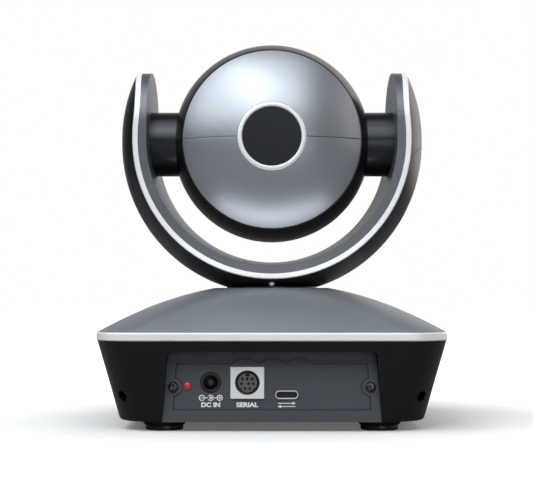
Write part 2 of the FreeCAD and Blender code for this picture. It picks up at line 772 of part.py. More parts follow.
def side_profile(offset):
    """The yoke seen from the side: upright edges and a round top, across the whole width."""
    d = yoke_half_depth - offset
    centre = tilt_height + yoke_top_lift
    low = yoke_bottom
    edges = [Part.LineSegment(V(-FAR, -d, low), V(-FAR, d, low)).toShape(),
             Part.LineSegment(V(-FAR, d, low), V(-FAR, d, centre)).toShape(),
             Part.Arc(V(-FAR, d, centre), V(-FAR, 0, centre + d), V(-FAR, -d, centre)).toShape(),
             Part.LineSegment(V(-FAR, -d, centre), V(-FAR, -d, low)).toShape()]
    return Part.Face(Part.Wire(edges)).extrude(V(2 * FAR, 0, 0))


def inner_space(grow):
    """Room inside the U: a cone below the tilt axis, upright sides above it."""
    d = yoke_half_depth + 1.0
    slope = (yoke_inner_rear - yoke_inner_front) / (2 * yoke_half_depth)
    front = yoke_inner_front - slope + grow
    rear = yoke_inner_rear + slope + grow
    cone = Part.makeCone(front, rear, 2 * d, V(0, -d, tilt_height), Y_AXIS)
    sides = prism([V(-front, -d, tilt_height), V(front, -d, tilt_height),
                   V(rear, d, tilt_height), V(-rear, d, tilt_height)], V(0, 0, FAR))
    return fuse(cone, sides)


def below_seam(grow):
    """Everything below the arched seam between the lower cover and the two arm caps."""
    radius = seam_radius + grow
    half = yoke_half_depth + 4.0
    top = tilt_height - seam_top_drop + grow
    shoulder = top - radius + math.sqrt(radius ** 2 - half ** 2)
    low = yoke_bottom - 10.0
    x = -base_width
    edges = [Part.Arc(V(x, -half, shoulder), V(x, 0, top), V(x, half, shoulder)).toShape(),
             Part.LineSegment(V(x, half, shoulder), V(x, half, low)).toShape(),
             Part.LineSegment(V(x, half, low), V(x, -half, low)).toShape(),
             Part.LineSegment(V(x, -half, low), V(x, -half, shoulder)).toShape()]
    return Part.Face(Part.Wire(edges)).extrude(V(2 * base_width, 0, 0))


def yoke_skins():
    """Outer skin of the yoke, split into the lower cover and two arm caps."""
    skin = barrel(0).cut(barrel(yoke_skin)).common(side_profile(yoke_trim_depth)).cut(inner_space(0))
    skin = skin.cut(cyl(hub_flange_radius + fit_gap, 0, tilt_height, Z_AXIS))
    lower = skin.common(below_seam(0))
    caps = skin.cut(below_seam(seam_gap))
    right = caps.common(box(0, FAR, -FAR, FAR, 0, FAR))
    left = caps.common(box(-FAR, 0, -FAR, FAR, 0, FAR))
    return lower.cut(placed(lock_screw_pocket(), *lock_screw_place())), left, right


def yoke_trim():
    ring = barrel(0).cut(barrel(yoke_skin))
    ring = ring.common(side_profile(0).cut(side_profile(yoke_trim_depth)))
    return ring.cut(inner_space(0))


hub_flange_radius = pan_hub_radius + 2.0
hub_flange_top = yoke_bottom + 3.5
groove_radius = pan_hub_radius - 0.6
hub_screw_head = 1.8
hub_screw_rise = 0.9
collar_end = yoke_inner_rear + yoke_wall + 0.6
collar_seat_clearance = 5.5


def yoke_frame():
    """Structural U of the yoke: the inner wall, the two flat edges and the floor over the pan hub."""
    whole = barrel(0).common(side_profile(0)).cut(inner_space(0))
    core = whole.cut(barrel(0).cut(barrel(yoke_skin)))
    cavity = barrel(yoke_skin).common(side_profile(yoke_trim_depth + yoke_edge_wall))
    cavity = cavity.cut(inner_space(yoke_wall))
    cavity = cavity.cut(box(-FAR, FAR, -FAR, FAR, 0, hub_flange_top + yoke_floor))
    frame = core.cut(cavity)
    frame = frame.cut(cyl(hub_flange_radius + fit_gap, 0, hub_flange_top, Z_AXIS))
    frame = frame.cut(cyl(pan_hub_bore - 2.0, 0, hub_flange_top + 2.6, Z_AXIS))
    frame = frame.cut(box(-30, 30, -4.0, 4.0, hub_flange_top, hub_flange_top + 2.6))
    for x, y in hub_screw_places():
        at = V(x, y, 0)
        floor_z = hub_flange_top + yoke_floor
        frame = frame.cut(cyl(1.1, hub_flange_top - 1, floor_z + 0.2, Z_AXIS, at))
        pocket_top = floor_z + hub_screw_rise + fit_gap
        frame = frame.cut(cyl(hub_screw_head + fit_gap, floor_z, pocket_top, Z_AXIS, at))
    seat = cyl(trunnion_radius, yoke_inner_front / 2, collar_end + collar_seat_clearance, X_AXIS,
               V(0, 0, tilt_height))
    frame = frame.cut(seat).cut(mirrored_x(seat))
    frame = frame.cut(placed(lock_screw_pocket(), *lock_screw_place()))
    return max(frame.Solids, key=lambda s: s.Volume)


def hub_screw_places():
    circle = (pan_hub_radius + pan_hub_bore) / 2
    reach = circle * math.sqrt(0.5)
    return [(sx * reach, sy * reach) for sx in (-1, 1) for sy in (-1, 1)]


def lock_screw_place():
    """Seat of the lock screw on the bulged skin, low at the rear, and the skin's outward direction."""
    y = yoke_half_depth - 4.3
    bulge = yoke_middle_radius - yoke_edge_radius
    arc = (yoke_half_depth ** 2 + bulge ** 2) / (2 * bulge)
    radius = yoke_middle_radius - arc + math.sqrt(arc ** 2 - y ** 2)
    lean = math.asin(y / arc)
    return V(0, y, tilt_height - radius), V(0, math.sin(lean), -math.cos(lean))


def lock_screw_pocket():
    return cyl(1.75, -0.9, 3.0, Z_AXIS).fuse(cyl(0.9, -2.6, 0, Z_AXIS))


def yoke_screws():
    """The lock screw low at the rear, then the four that hold the yoke's floor to the hub."""
    position, way = lock_screw_place()
    made = [placed(screw(1.6, 0.75, 0.85, 1.6), position - way * 0.9, way)]
    down = screw(hub_screw_head, hub_screw_rise, 0.85, yoke_floor + 5.0)
    return made + [placed(down, V(x, y, hub_flange_top + yoke_floor), Z_AXIS) for x, y in hub_screw_places()]


def pan_hub():
    """Hollow shaft under the yoke: its flange sits in the yoke's floor, its tube runs down the bearing."""
    low = bearing_low - 1.5
    hub = fuse(cyl(hub_flange_radius, yoke_bottom, hub_flange_top, Z_AXIS),
               cyl(pan_hub_radius, low, yoke_bottom, Z_AXIS))
    hub = hub.cut(cyl(pan_hub_bore, 0, hub_flange_top - 2.0, Z_AXIS))
    hub = hub.cut(cyl(pan_hub_bore - 2.0, 0, FAR, Z_AXIS))
    hub = hub.cut(tube(pan_hub_radius + 1, groove_radius, bearing_low + 0.1, bearing_low + 0.75, Z_AXIS))
    for x, y in hub_screw_places():
        hub = hub.cut(cyl(0.85, hub_flange_top - 6.0, hub_flange_top + 1, Z_AXIS, V(x, y, 0)))
    return hub


def pan_circlip():
    """Open ring in the hub's groove, under the bearing's inner race."""
    low, high = bearing_low + 0.15, bearing_low + 0.7
    ring = tube(pan_hub_radius + 1.6, groove_radius + running_gap, low, high, Z_AXIS)
    return ring.cut(box(-2.5, 2.5, 0, 30, 0, 60))


def hub_spacer():
    """Sleeve between the bearing's inner race and the gear."""
    return tube(pan_hub_radius + 2.0, pan_hub_radius + 0.02, bearing_high, gear_low - 0.9, Z_AXIS)


def trunnion(side):
    """Fixed collar between the arm and the ball, with the shaft's seat through it."""
    start, end = ball_radius - 3.9, collar_end
    tz = V(0, 0, tilt_height)
    body = cyl(trunnion_radius, start, end, X_AXIS, tz)
    body = body.cut(cyl(tilt_shaft_radius, 0, FAR, X_AXIS, tz))
    body = body.cut(tube(trunnion_radius - 1.8, tilt_shaft_radius + 2.0, start - 1, end - 4.0, X_AXIS, tz))
    return body if side > 0 else mirrored_x(body)


frame_plate_outer = ball_radius - 6.3
frame_plate_inner = frame_plate_outer - 2.2
tilt_gear_width = 3.0
tilt_gear_inner = frame_plate_inner - tilt_gear_width - 1.9
motor_plate_x = tilt_gear_inner - 2.9


def tilt_shaft():
    tz = V(0, 0, tilt_height)
    return tube(tilt_shaft_radius, tilt_shaft_bore, tilt_gear_inner - 0.8, collar_end, X_AXIS, tz)


def tilt_gear():
    """Gear on the fixed shaft's inner end; the head's motor walks round it."""
    points = gear_outline(tilt_module, tilt_teeth, False)
    wheel = prism([V(tilt_gear_inner, x, tilt_height + y) for x, y in points], V(tilt_gear_width, 0, 0))
    return wheel.cut(cyl(tilt_shaft_radius, 0, FAR, X_AXIS, V(0, 0, tilt_height)))


# ---------------------------------------------------------------- head
def halves(shape):
    """The shape split at the height of the tilt axis, with the seam's gap between its two parts."""
    above = box(-FAR, FAR, -FAR, FAR, tilt_height + seam_gap / 2, FAR * 2)
    below = box(-FAR, FAR, -FAR, FAR, -FAR, tilt_height - seam_gap / 2)
    return shape.common(above), shape.common(below)


def ball_halves():
    """Black ball in two halves: a sphere in front, a flatter band behind, open at both ends."""
    def front_middle(radius):
        turn = math.acos(front_opening_radius / radius) / 2
        return -radius * math.sin(turn), radius * math.cos(turn)

    def band(y, offset):
        return ball_radius - band_radius + math.sqrt((band_radius - offset) ** 2 - y ** 2)

    inner = ball_radius - ball_wall
    inner_front = -math.sqrt(inner ** 2 - front_opening_radius ** 2)
    half = cap_edge_y / 2
    shell = turned_y([(front_edge_y, front_opening_radius),
                      (*front_middle(ball_radius), 0, ball_radius),
                      (half, band(half, 0), cap_edge_y, cap_edge_radius),
                      (cap_edge_y, band(cap_edge_y, ball_wall)),
                      (half, band(half, ball_wall), 0, inner),
                      (*front_middle(inner), inner_front, front_opening_radius)])
    return halves(shell.cut(cyl(trunnion_radius + 0.3, -FAR, FAR, X_AXIS, V(0, 0, tilt_height))))


def rear_cap_halves():
    """Silver dome over the back of the ball, stepped in a little from the ball's edge."""
    def arc(radius, first, last):
        turn = (math.asin(first / radius) + math.asin(last / radius)) / 2
        end = cap_centre + math.sqrt(radius ** 2 - last ** 2)
        return cap_centre + radius * math.cos(turn), radius * math.sin(turn), end, last

    ring = cap_ring_radius + 0.05
    inner = cap_radius - cap_wall
    inner_foot = math.sqrt(inner ** 2 - (cap_foot_y - cap_centre) ** 2)
    dome_shell = turned_y([(cap_foot_y, cap_foot_radius),
                           arc(cap_radius, cap_foot_radius, ring),
                           (cap_centre + math.sqrt(inner ** 2 - ring ** 2), ring),
                           arc(inner, ring, inner_foot)])
    return halves(dome_shell)


def rear_disc_ring():
    y = cap_ring_rear
    inner = disc_radius + running_gap
    return turned_y([(y - cap_wall, inner), (y + 0.3, inner), (y + 0.7, inner + 0.4), (y + 0.7, inner + 0.95),
                     (y + 0.1, cap_ring_radius), (y - cap_wall, cap_ring_radius)])


def rear_disc():
    y = cap_ring_rear
    seat = y - cap_wall
    lip = disc_radius + 0.8
    return turned_y([(seat - 1.0, 0), (seat - 1.0, lip), (seat, lip), (seat, disc_radius),
                     (y + 0.25, disc_radius), (y + 0.25, 0)])


lens_radius = 12.6
barrel_outer = 14.2


def front_bezel():
    """Gloss ring that closes the front of the ball and dishes in towards the lens."""
    y = front_edge_y
    outer = front_opening_radius - 0.12
    inner = barrel_outer + 0.25
    return turned_y([(y + 3.0, outer), (y + 0.2, outer), (y - 0.9, outer - 1.4), (y - 0.9, outer - 2.2),
                     (y + 0.4, inner + 3.0, y + 2.6, inner), (y + 5.4, inner), (y + 5.4, inner + 1.6),
                     (y + 4.4, outer - 2.5), (y + 3.0, outer - 2.5)])


def lens_barrel():
    """Tube of the zoom lens, stepped at the front round the first element."""
    y = front_edge_y
    return turned_y([(y - 0.6, lens_radius), (y - 1.3, lens_radius + 0.5), (y - 1.3, barrel_outer - 0.5),
                     (y - 0.8, barrel_outer), (block_front, barrel_outer), (block_front, lens_radius + 0.1),
                     (y + 5.0, lens_radius + 0.1), (y + 5.0, lens_radius - 0.8), (y + 2.6, lens_radius - 0.8),
                     (y + 2.6, lens_radius)])


def front_lens():
    """First element: a strong meniscus seated in the barrel."""
    y = front_edge_y
    r = lens_radius - 0.05
    front, back = dome(y - 0.2, y + 1.5, r), dome(y + 1.35, y + 2.5, r - 1.6)
    return turned_y([(y - 0.2, 0), (*front, y + 1.5, r), (y + 2.5, r), (y + 2.5, r - 1.6),
                     (*back, y + 1.35, 0)])


block_front = -8.0
block_rear = cap_ring_rear - 15.0
block_half = 15.0
block_wall = 1.5


def camera_block():
    """Housing of the zoom module: an open-backed box behind the barrel."""
    z = tilt_height
    body = box(-block_half, block_half, block_front, block_rear, z - block_half, z + block_half)
    w = block_wall
    body = body.cut(box(-block_half + w, block_half - w, block_front + w, block_rear + 1,
                        z - block_half + w, z + block_half - w))
    body = body.cut(cyl(lens_radius + 0.1, block_front - 1, block_front + 5, Y_AXIS, V(0, 0, z)))
    return body


def rod_places():
    return [(-9.6, tilt_height + 6.0), (9.6, tilt_height - 6.0)]


def guide_rods():
    y0, y1 = front_edge_y + 5.0, block_rear - 0.5
    return [cyl(0.8, y0, y1, Y_AXIS, V(x, 0, z)) for x, z in rod_places()]


def lens_carrier(y0, y1, lens_half):
    """Ring on the two guide rods, with its lens element."""
    ring = cyl(lens_radius - 0.4, y0, y1, Y_AXIS, V(0, 0, tilt_height))
    ring = ring.cut(cyl(7.2, y0 - 1, y1 + 1, Y_AXIS, V(0, 0, tilt_height)))
    for x, z in rod_places():
        ring = ring.cut(cyl(0.8 + running_gap, y0 - 1, y1 + 1, Y_AXIS, V(x, 0, z)))
    middle = (y0 + y1) / 2
    front = dome(middle - lens_half, middle - 0.5, 7.2)
    back = dome(middle + lens_half, middle + 0.5, 7.2)
    element = turned_y([(middle - lens_half, 0), (*front, middle - 0.5, 7.2),
                        (middle + 0.5, 7.2), (*back, middle + lens_half, 0)])
    return ring, element


zoom_front = front_edge_y + 7.0
focus_front = block_front + 6.5


def sensor_board():
    z = tilt_height
    half = block_half - block_wall - 0.3
    board = box(-half, half, block_rear - 2.0, block_rear - 0.6, z - half, z + half)
    for x, rod_z in rod_places():
        board = board.cut(cyl(0.9, 0, FAR, Y_AXIS, V(x, 0, rod_z)))
    imager = box(-4.0, 4.0, block_rear - 3.6, block_rear - 2.0, z - 3.2, z + 3.2)
    plug = box(-5.5, 5.5, block_rear - 0.6, block_rear + 1.6, z - 11.0, z - 7.6)
    return board, imager, plug


def head_frame():
    """Bracket inside the ball: a floor under the camera block, two bearing plates and the motor's plate."""
    z = tilt_height
    room = Part.makeSphere(ball_radius - ball_wall - 0.3, V(0, 0, z))
    floor = box(-frame_plate_outer, frame_plate_outer, -12, 14, z - block_half - 3.0, z - block_half - 0.8)
    parts = [floor]
    for side in (-1, 1):
        x0, x1 = sorted((side * frame_plate_inner, side * frame_plate_outer))
        parts.append(cyl(14.0, x0, x1, X_AXIS, V(0, 0, z)))
        parts.append(box(x0, x1, -8, 8, z - block_half - 3.0, z))
    x0, x1 = motor_plate_x, motor_plate_x + 1.4
    parts.append(box(x0, x1, 7.0, 25.2, z - 9.5, z + 9.5))
    parts.append(box(x0, x1, 7.0, 14.0, z - block_half - 3.0, z))
    frame = fuse(*parts).common(room)
    frame = frame.cut(cyl(bush_outer, -FAR, FAR, X_AXIS, V(0, 0, z)))
    frame = frame.cut(cyl(3.0, motor_plate_x - 1, motor_plate_x + 3, X_AXIS, V(0, tilt_centres, z)))
    return max(frame.Solids, key=lambda s: s.Volume)


bush_outer = 8.0


def tilt_bushes():
    tz = V(0, 0, tilt_height)
    bore = tilt_shaft_radius + running_gap
    one = fuse(tube(bush_outer, bore, frame_plate_inner, frame_plate_outer, X_AXIS, tz),
               tube(bush_outer + 1.4, bore, frame_plate_outer, frame_plate_outer + 1.0, X_AXIS, tz))
    return one, mirrored_x(one)


def tilt_motor():
    at = V(0, tilt_centres, tilt_height)
    body = fuse(cyl(8.8, motor_plate_x - 9.6, motor_plate_x, X_AXIS, at),
                cyl(2.9, motor_plate_x, motor_plate_x + 1.2, X_AXIS, at))
    return body.cut(cyl(1.0 + running_gap, motor_plate_x - 6, FAR, X_AXIS, at))


def tilt_pinion():
    at = V(0, tilt_centres, tilt_height)
    points = gear_outline(tilt_module, tilt_pinion_teeth, True)
    wheel = prism([V(tilt_gear_inner, tilt_centres - x, tilt_height + y) for x, y in points],
                  V(tilt_gear_width, 0, 0))
    return fuse(wheel, cyl(1.0, motor_plate_x - 5.5, tilt_gear_inner + tilt_gear_width + 0.4, X_AXIS, at))


# ---------------------------------------------------------------- build
def main():
    os.makedirs("parts", exist_ok=True)
    save("base_shell", base_shell())
    save("base_plate", base_plate())
    save("tripod_insert", tripod_insert())
    save("foot_holders", *foot_holders())
    save("foot_pads", *foot_pads())
    save("base_trim_band", base_trim_band())
    save("base_top_cover", base_top_cover())
    save("rear_panel", rear_panel())
    save("rear_panel_screws", *rear_panel_screws())
    save("dc_jack", dc_jack())
    save("dc_jack_pin", dc_jack_pin())
    save("serial_socket_shell", serial_socket_shell())
    save("serial_socket_insert", serial_socket_insert())
    save("usb_c_shell", usb_c_shell())
    save("usb_c_tongue", usb_c_tongue())
    save("status_led", status_led())
    save("main_board", main_board())
    save("board_chips", *board_chips())
    save("board_screws", *board_screws())
    save("chassis_posts", *chassis_posts())
    save("chassis_screws", *base_screws(), *motor_screws())
    save("pan_chassis", pan_chassis())
    save("pan_bearing_outer", race(bearing_ball_circle + 0.6, bearing_outer))
    save("pan_bearing_balls", *pan_bearing_balls())
    save("pan_motor", pan_motor())
    save("pan_home_sensor", pan_home_sensor())
    save("ir_window", ir_window())
    save("pan_pinion", pan_pinion())

    lower, left, right = yoke_skins()
    save("yoke_frame", yoke_frame())
    save("yoke_outer_cover", lower)
    save("yoke_cap_left", left)
    save("yoke_cap_right", right)
    save("yoke_trim", yoke_trim())
    save("yoke_screws", *yoke_screws())
    save("pan_hub", pan_hub())
    save("pan_bearing_inner", race(pan_hub_radius, bearing_ball_circle - 0.6))
    save("pan_circlip", pan_circlip())
    save("hub_spacer", hub_spacer())
    save("pan_gear", pan_gear())
    save("trunnion_collars", trunnion(-1), trunnion(1))
    save("tilt_shafts", tilt_shaft(), mirrored_x(tilt_shaft()))
    save("tilt_gear", tilt_gear())

    upper_ball, lower_ball = ball_halves()
    upper_cap, lower_cap = rear_cap_halves()
    save("head_shell_upper", upper_ball)
    save("head_shell_lower", lower_ball)
    save("rear_cap_upper", upper_cap)
    save("rear_cap_lower", lower_cap)
    save("rear_disc_ring", rear_disc_ring())
    save("rear_disc", rear_disc())
    save("front_bezel", front_bezel())
    save("lens_barrel", lens_barrel())
    save("front_lens", front_lens())
    save("camera_block", camera_block())
    save("guide_rods", *guide_rods())
    save("sensor_board", *sensor_board())
    save("zoom_carrier", *lens_carrier(zoom_front, zoom_front + 3.4, 1.5))
    save("focus_carrier", *lens_carrier(focus_front, focus_front + 3.0, 1.3))
    save("head_frame", head_frame())
    save("tilt_bushes", *tilt_bushes())
    save("tilt_motor", tilt_motor())
    save("tilt_pinion", tilt_pinion())


main()
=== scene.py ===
import json
import math

import bmesh
import bpy
from bpy.props import FloatProperty, FloatVectorProperty, IntProperty, PointerProperty
from mathutils import Matrix, Vector


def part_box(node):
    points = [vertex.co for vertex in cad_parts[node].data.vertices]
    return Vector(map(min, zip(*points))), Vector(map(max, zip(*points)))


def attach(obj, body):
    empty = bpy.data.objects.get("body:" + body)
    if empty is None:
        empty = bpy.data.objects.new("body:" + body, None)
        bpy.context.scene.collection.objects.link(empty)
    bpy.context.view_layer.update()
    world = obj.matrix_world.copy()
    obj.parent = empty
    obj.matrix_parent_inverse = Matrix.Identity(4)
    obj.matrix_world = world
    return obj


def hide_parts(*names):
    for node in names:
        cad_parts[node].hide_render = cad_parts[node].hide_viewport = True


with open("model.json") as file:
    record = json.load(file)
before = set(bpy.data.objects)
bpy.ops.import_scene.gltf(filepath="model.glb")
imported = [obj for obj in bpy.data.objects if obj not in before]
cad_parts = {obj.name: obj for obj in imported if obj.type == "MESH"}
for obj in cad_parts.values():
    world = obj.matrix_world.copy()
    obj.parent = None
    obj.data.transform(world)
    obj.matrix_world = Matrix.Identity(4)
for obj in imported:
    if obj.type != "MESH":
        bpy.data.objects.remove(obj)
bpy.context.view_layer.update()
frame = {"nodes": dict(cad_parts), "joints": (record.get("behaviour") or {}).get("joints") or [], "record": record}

bl_info = {
    "name": "Pan-tilt-zoom camera",
    "version": (1, 0, 0),
    "blender": (4, 5, 0),
    "location": "View3D > Sidebar > Camera",
    "description": "Builds the visible pieces, finishes and studio of a pan-tilt-zoom conference camera",
    "category": "Add Mesh",
}

MM = 0.001


# ------------------------------------------------------------------ places taken from the frame
def middle(node):
    low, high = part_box(node)
    return (low + high) / 2


PANEL_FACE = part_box("rear_panel")[1].y
TILT_AXIS = Vector(next(j["pos_m"] for j in frame["joints"] if j["name"] == "tilt"))
SLOT_OF = {entry["node"]: entry["material_slot"] for entry in frame["record"]["subparts"]}


# ------------------------------------------------------------------ what a user may change
def length(name, description, millimetres):
    return FloatProperty(name=name, description=description, default=millimetres * MM, min=0, unit="LENGTH")


def paint(name, description, colour):
    return FloatVectorProperty(name=name, description=description, default=colour, min=0, max=1,
                               subtype="COLOR")


class PTZ_PG_sizes(bpy.types.PropertyGroup):
    """Sizes of the visible details"""
    edge_round: length("Edge rounding", "Radius on the moulded edges", 0.4)
    fine_round: length("Fine rounding", "Radius on the edges of small parts", 0.15)
    tip_round: length("Arm rounding", "Radius on the edges of the yoke's arms", 0.45)
    ink_height: length("Ink height", "How far the printed signs stand proud", 0.05)
    word_height: length("Word height", "Height of the printed capitals", 1.95)
    pad_grooves: IntProperty(name="Pad grooves", description="Rings moulded in each rubber foot",
                             default=3, min=0)
    barrel_ribs: IntProperty(name="Barrel ribs", description="Ribs round the lens barrel's mouth",
                             default=90, min=3)


class PTZ_PG_finish(bpy.types.PropertyGroup):
    """Colours of the visible finishes"""
    shell: paint("Housing", "Lower housing", (0.0065, 0.0068, 0.0075))
    cover: paint("Top cover", "Gunmetal paint of the domed cover", (0.30, 0.325, 0.36))
    silver: paint("Silver", "Rear cap of the head", (0.43, 0.46, 0.505))
    trim: paint("Trim", "Bright strips on the yoke and the base", (0.95, 0.965, 0.985))
    ball: paint("Ball", "Dark part of the head", (0.010, 0.0105, 0.0115))
    frame: paint("Yoke frame", "Grey inside of the yoke", (0.150, 0.163, 0.182))
    panel: paint("Panel", "Connector panel", (0.078, 0.086, 0.100))
    badge: paint("Badge", "Plain disc in the rear cap", (0.013, 0.0155, 0.019))


def sizes():
    return bpy.context.scene.ptz_sizes


def finish():
    return bpy.context.scene.ptz_finish


# ------------------------------------------------------------------ shader groups
# kinds of socket
FLOAT, VECTOR, COLOUR = "NodeSocketFloat", "NodeSocketVector", "NodeSocketColor"
WHOLE, OBJECT, MATERIAL = "NodeSocketInt", "NodeSocketObject", "NodeSocketMaterial"


def new_group(name, inputs, outputs):
    """Empty shader group with named inputs (name, kind, default) and outputs (name, kind)."""
    tree = bpy.data.node_groups.new(name, "ShaderNodeTree")
    for label, kind, value in inputs:
        socket = tree.interface.new_socket(name=label, in_out="INPUT", socket_type=kind)
        socket.default_value = value
    for label, kind in outputs:
        tree.interface.new_socket(name=label, in_out="OUTPUT", socket_type=kind)
    return tree, tree.nodes.new("NodeGroupInput").outputs, tree.nodes.new("NodeGroupOutput").inputs


def set_inputs(tree, node, inputs):
    """Sets or links a node's inputs, named with _ for a space, or i0, i1 and so on by their place."""
    for key, value in inputs.items():
        by_place = key[0] == "i" and key[1:].isdigit()
        socket = node.inputs[int(key[1:])] if by_place else node.inputs[key.replace("_", " ")]
        if isinstance(value, bpy.types.NodeSocket):
            tree.links.new(value, socket)
        else:
            socket.default_value = value


def add(tree, kind, settings=None, **inputs):
    """One node with its settings, and its inputs given as values or as sockets to link from."""
    node = tree.nodes.new(kind)
    for key, value in (settings or {}).items():
        setattr(node, key, value)
    set_inputs(tree, node, inputs)
    return node


def maths(tree, operation, first, second=0.0, clamp=False):
    settings = {"operation": operation, "use_clamp": clamp}
    return add(tree, "ShaderNodeMath", settings, i0=first, i1=second).outputs[0]


def times(tree, *values):
    """Product of several values, held between 0 and 1."""
    made = values[0]
    for value in values[1:]:
        made = maths(tree, "MULTIPLY", made, value, True)
    return made


def mix_colour(tree, factor, first, second, blend="MIX"):
    settings = {"data_type": "RGBA", "blend_type": blend}
    return add(tree, "ShaderNodeMix", settings, i0=factor, i6=first, i7=second).outputs[2]


def noise(tree, scale, detail, roughness=0.5):
    """Soft noise about 0.5 that keeps its place on the object."""
    place = add(tree, "ShaderNodeTexCoord").outputs["Object"]
    return add(tree, "ShaderNodeTexNoise", Vector=place, Scale=scale, Detail=detail,
               Roughness=roughness).outputs["Fac"]


def eased(tree, value, start, end, low, high):
    """Smooth step from low, where the value is start, to high, where it is end."""
    return add(tree, "ShaderNodeMapRange", {"interpolation_type": "SMOOTHSTEP"}, Value=value, From_Min=start,
               From_Max=end, To_Min=low, To_Max=high).outputs["Result"]


def grain_group():
    """Moulded or sprayed grain: fine speckle in colour, roughness and height, over broad soft clouds."""
    tree, given, out = new_group(
        "Surface Grain",
        [("Colour", COLOUR, (0.5, 0.5, 0.5, 1)), ("Roughness", FLOAT, 0.4), ("Grain Scale", FLOAT, 2500.0),
         ("Speckle", FLOAT, 0.1), ("Cloud", FLOAT, 0.06)],
        [("Colour", COLOUR), ("Roughness", FLOAT), ("Height", FLOAT)])
    fine = noise(tree, given["Grain Scale"], 3.0, 0.6)
    broad = noise(tree, 38.0, 4.0, 0.55)
    fine_off = maths(tree, "SUBTRACT", fine, 0.5)
    broad_off = maths(tree, "SUBTRACT", broad, 0.5)
    change = maths(tree, "ADD", maths(tree, "MULTIPLY", fine_off, given["Speckle"]),
                   maths(tree, "MULTIPLY", broad_off, given["Cloud"]))
    factor = maths(tree, "ADD", maths(tree, "MULTIPLY", change, 2.0), 1.0)
    scale = add(tree, "ShaderNodeCombineXYZ", X=factor, Y=factor, Z=factor).outputs[0]
    colour = mix_colour(tree, 1.0, given["Colour"], scale, "MULTIPLY")
    tree.links.new(colour, out["Colour"])
    tree.links.new(maths(tree, "ADD", given["Roughness"], change, True), out["Roughness"])
    tree.links.new(fine, out["Height"])
    return tree


def edge_wear_glint_group():
    """Mask of handled edges, which also paints glints where a finish asks: where the rounded normal leaves the
    flat one, broken up by noise.
    """
    tree, given, out = new_group("Edge Wear", [("Radius", FLOAT, 0.6 * MM), ("Amount", FLOAT, 0.4)],
                                 [("Mask", FLOAT)])
    rounded = add(tree, "ShaderNodeBevel", {"samples": 4}, Radius=given["Radius"]).outputs["Normal"]
    flat = add(tree, "ShaderNodeNewGeometry").outputs["Normal"]
    dot = add(tree, "ShaderNodeVectorMath", {"operation": "DOT_PRODUCT"}, i0=rounded, i1=flat)
    edge = times(tree, maths(tree, "SUBTRACT", 1.0, dot.outputs["Value"]), 5.0)
    broken = times(tree, maths(tree, "SUBTRACT", noise(tree, 420.0, 4.0), 0.42), 3.5)
    tree.links.new(times(tree, edge, broken, given["Amount"]), out["Mask"])
    return tree


def dust_group():
    """Thin dust that settles on faces that look up, in soft patches."""
    tree, given, out = new_group("Settled Dust", [("Amount", FLOAT, 0.05)], [("Mask", FLOAT)])
    normal = add(tree, "ShaderNodeNewGeometry").outputs["Normal"]
    height = add(tree, "ShaderNodeSeparateXYZ", Vector=normal).outputs["Z"]
    upward = maths(tree, "GREATER_THAN", height, 0.0)
    facing = times(tree, height, height)
    mask = times(tree, facing, upward, noise(tree, 160.0, 6.0, 0.7), given["Amount"])
    tree.links.new(mask, out["Mask"])
    return tree


def crease_shade_group():
    """Mask of the inner corners of a piece, where painted shade darkens them."""
    tree, given, out = new_group("Dark Crease", [("Reach", FLOAT, 1.0 * MM), ("Amount", FLOAT, 1.0)],
                                 [("Mask", FLOAT)])
    open_share = add(tree, "ShaderNodeAmbientOcclusion", {"samples": 8, "only_local": True},
                     Distance=given["Reach"]).outputs["AO"]
    shut = times(tree, maths(tree, "SUBTRACT", 0.97, open_share), 2.6)
    tree.links.new(times(tree, shut, given["Amount"]), out["Mask"])
    return tree


GROUP_MAKERS = {"Surface Grain": grain_group, "Edge Wear": edge_wear_glint_group, "Settled Dust": dust_group,
                "Dark Crease": crease_shade_group}


def use_group(tree, name, **inputs):
    node = tree.nodes.new("ShaderNodeGroup")
    node.node_tree = bpy.data.node_groups.get(name) or GROUP_MAKERS[name]()
    set_inputs(tree, node, inputs)
    return node


# ------------------------------------------------------------------ materials
DUST_COLOUR = (0.52, 0.50, 0.47)
# near black that the painted shade in inner corners is mixed towards
CREASE_SHADE_COLOUR = (0.002, 0.002, 0.002)
GRAIN_DEPTH = 0.2 * MM


def coloured(value):
    return (*value[:3], 1.0)


def new_material(name):
    made = bpy.data.materials.new(name)
    made.use_nodes = True
    return made, made.node_tree, made.node_tree.nodes["Principled BSDF"]


def surface(name, colour, roughness, metallic=0.0, grain=2500.0, speckle=0.10, cloud=0.05, bump=0.02,
            wear_and_glint=0.25, worn_and_glint=(0.30, 0.31, 0.33), dust=0.008, crease_shade=0.0, fixed=None):
    """Finish with grain, worn edges that can also be painted glints, painted shade in creases and a little dust;
    `fixed` sets its constant sockets.
    """
    made, tree, shader = new_material(name)
    skin = use_group(tree, "Surface Grain", Colour=coloured(colour), Roughness=roughness, Grain_Scale=grain,
                     Speckle=speckle, Cloud=cloud)
    edges = use_group(tree, "Edge Wear", Amount=wear_and_glint)
    settled = use_group(tree, "Settled Dust", Amount=dust)
    paint = mix_colour(tree, edges.outputs["Mask"], skin.outputs["Colour"], coloured(worn_and_glint))
    # painted shade: inner corners darkened towards near black by ambient occlusion
    if crease_shade:
        crease_shade_node = use_group(tree, "Dark Crease", Amount=crease_shade)
        paint = mix_colour(tree, crease_shade_node.outputs["Mask"], paint, coloured(CREASE_SHADE_COLOUR))
    dusty = mix_colour(tree, settled.outputs["Mask"], paint, coloured(DUST_COLOUR))
    tree.links.new(dusty, shader.inputs["Base Color"])
    rough = maths(tree, "ADD", skin.outputs["Roughness"], settled.outputs["Mask"], True)
    tree.links.new(rough, shader.inputs["Roughness"])
    relief = add(tree, "ShaderNodeBump", Strength=bump, Distance=GRAIN_DEPTH, Height=skin.outputs["Height"])
    tree.links.new(relief.outputs["Normal"], shader.inputs["Normal"])
    shader.inputs["Metallic"].default_value = metallic
    for key, value in (fixed or {}).items():
        shader.inputs[key].default_value = value
    return made


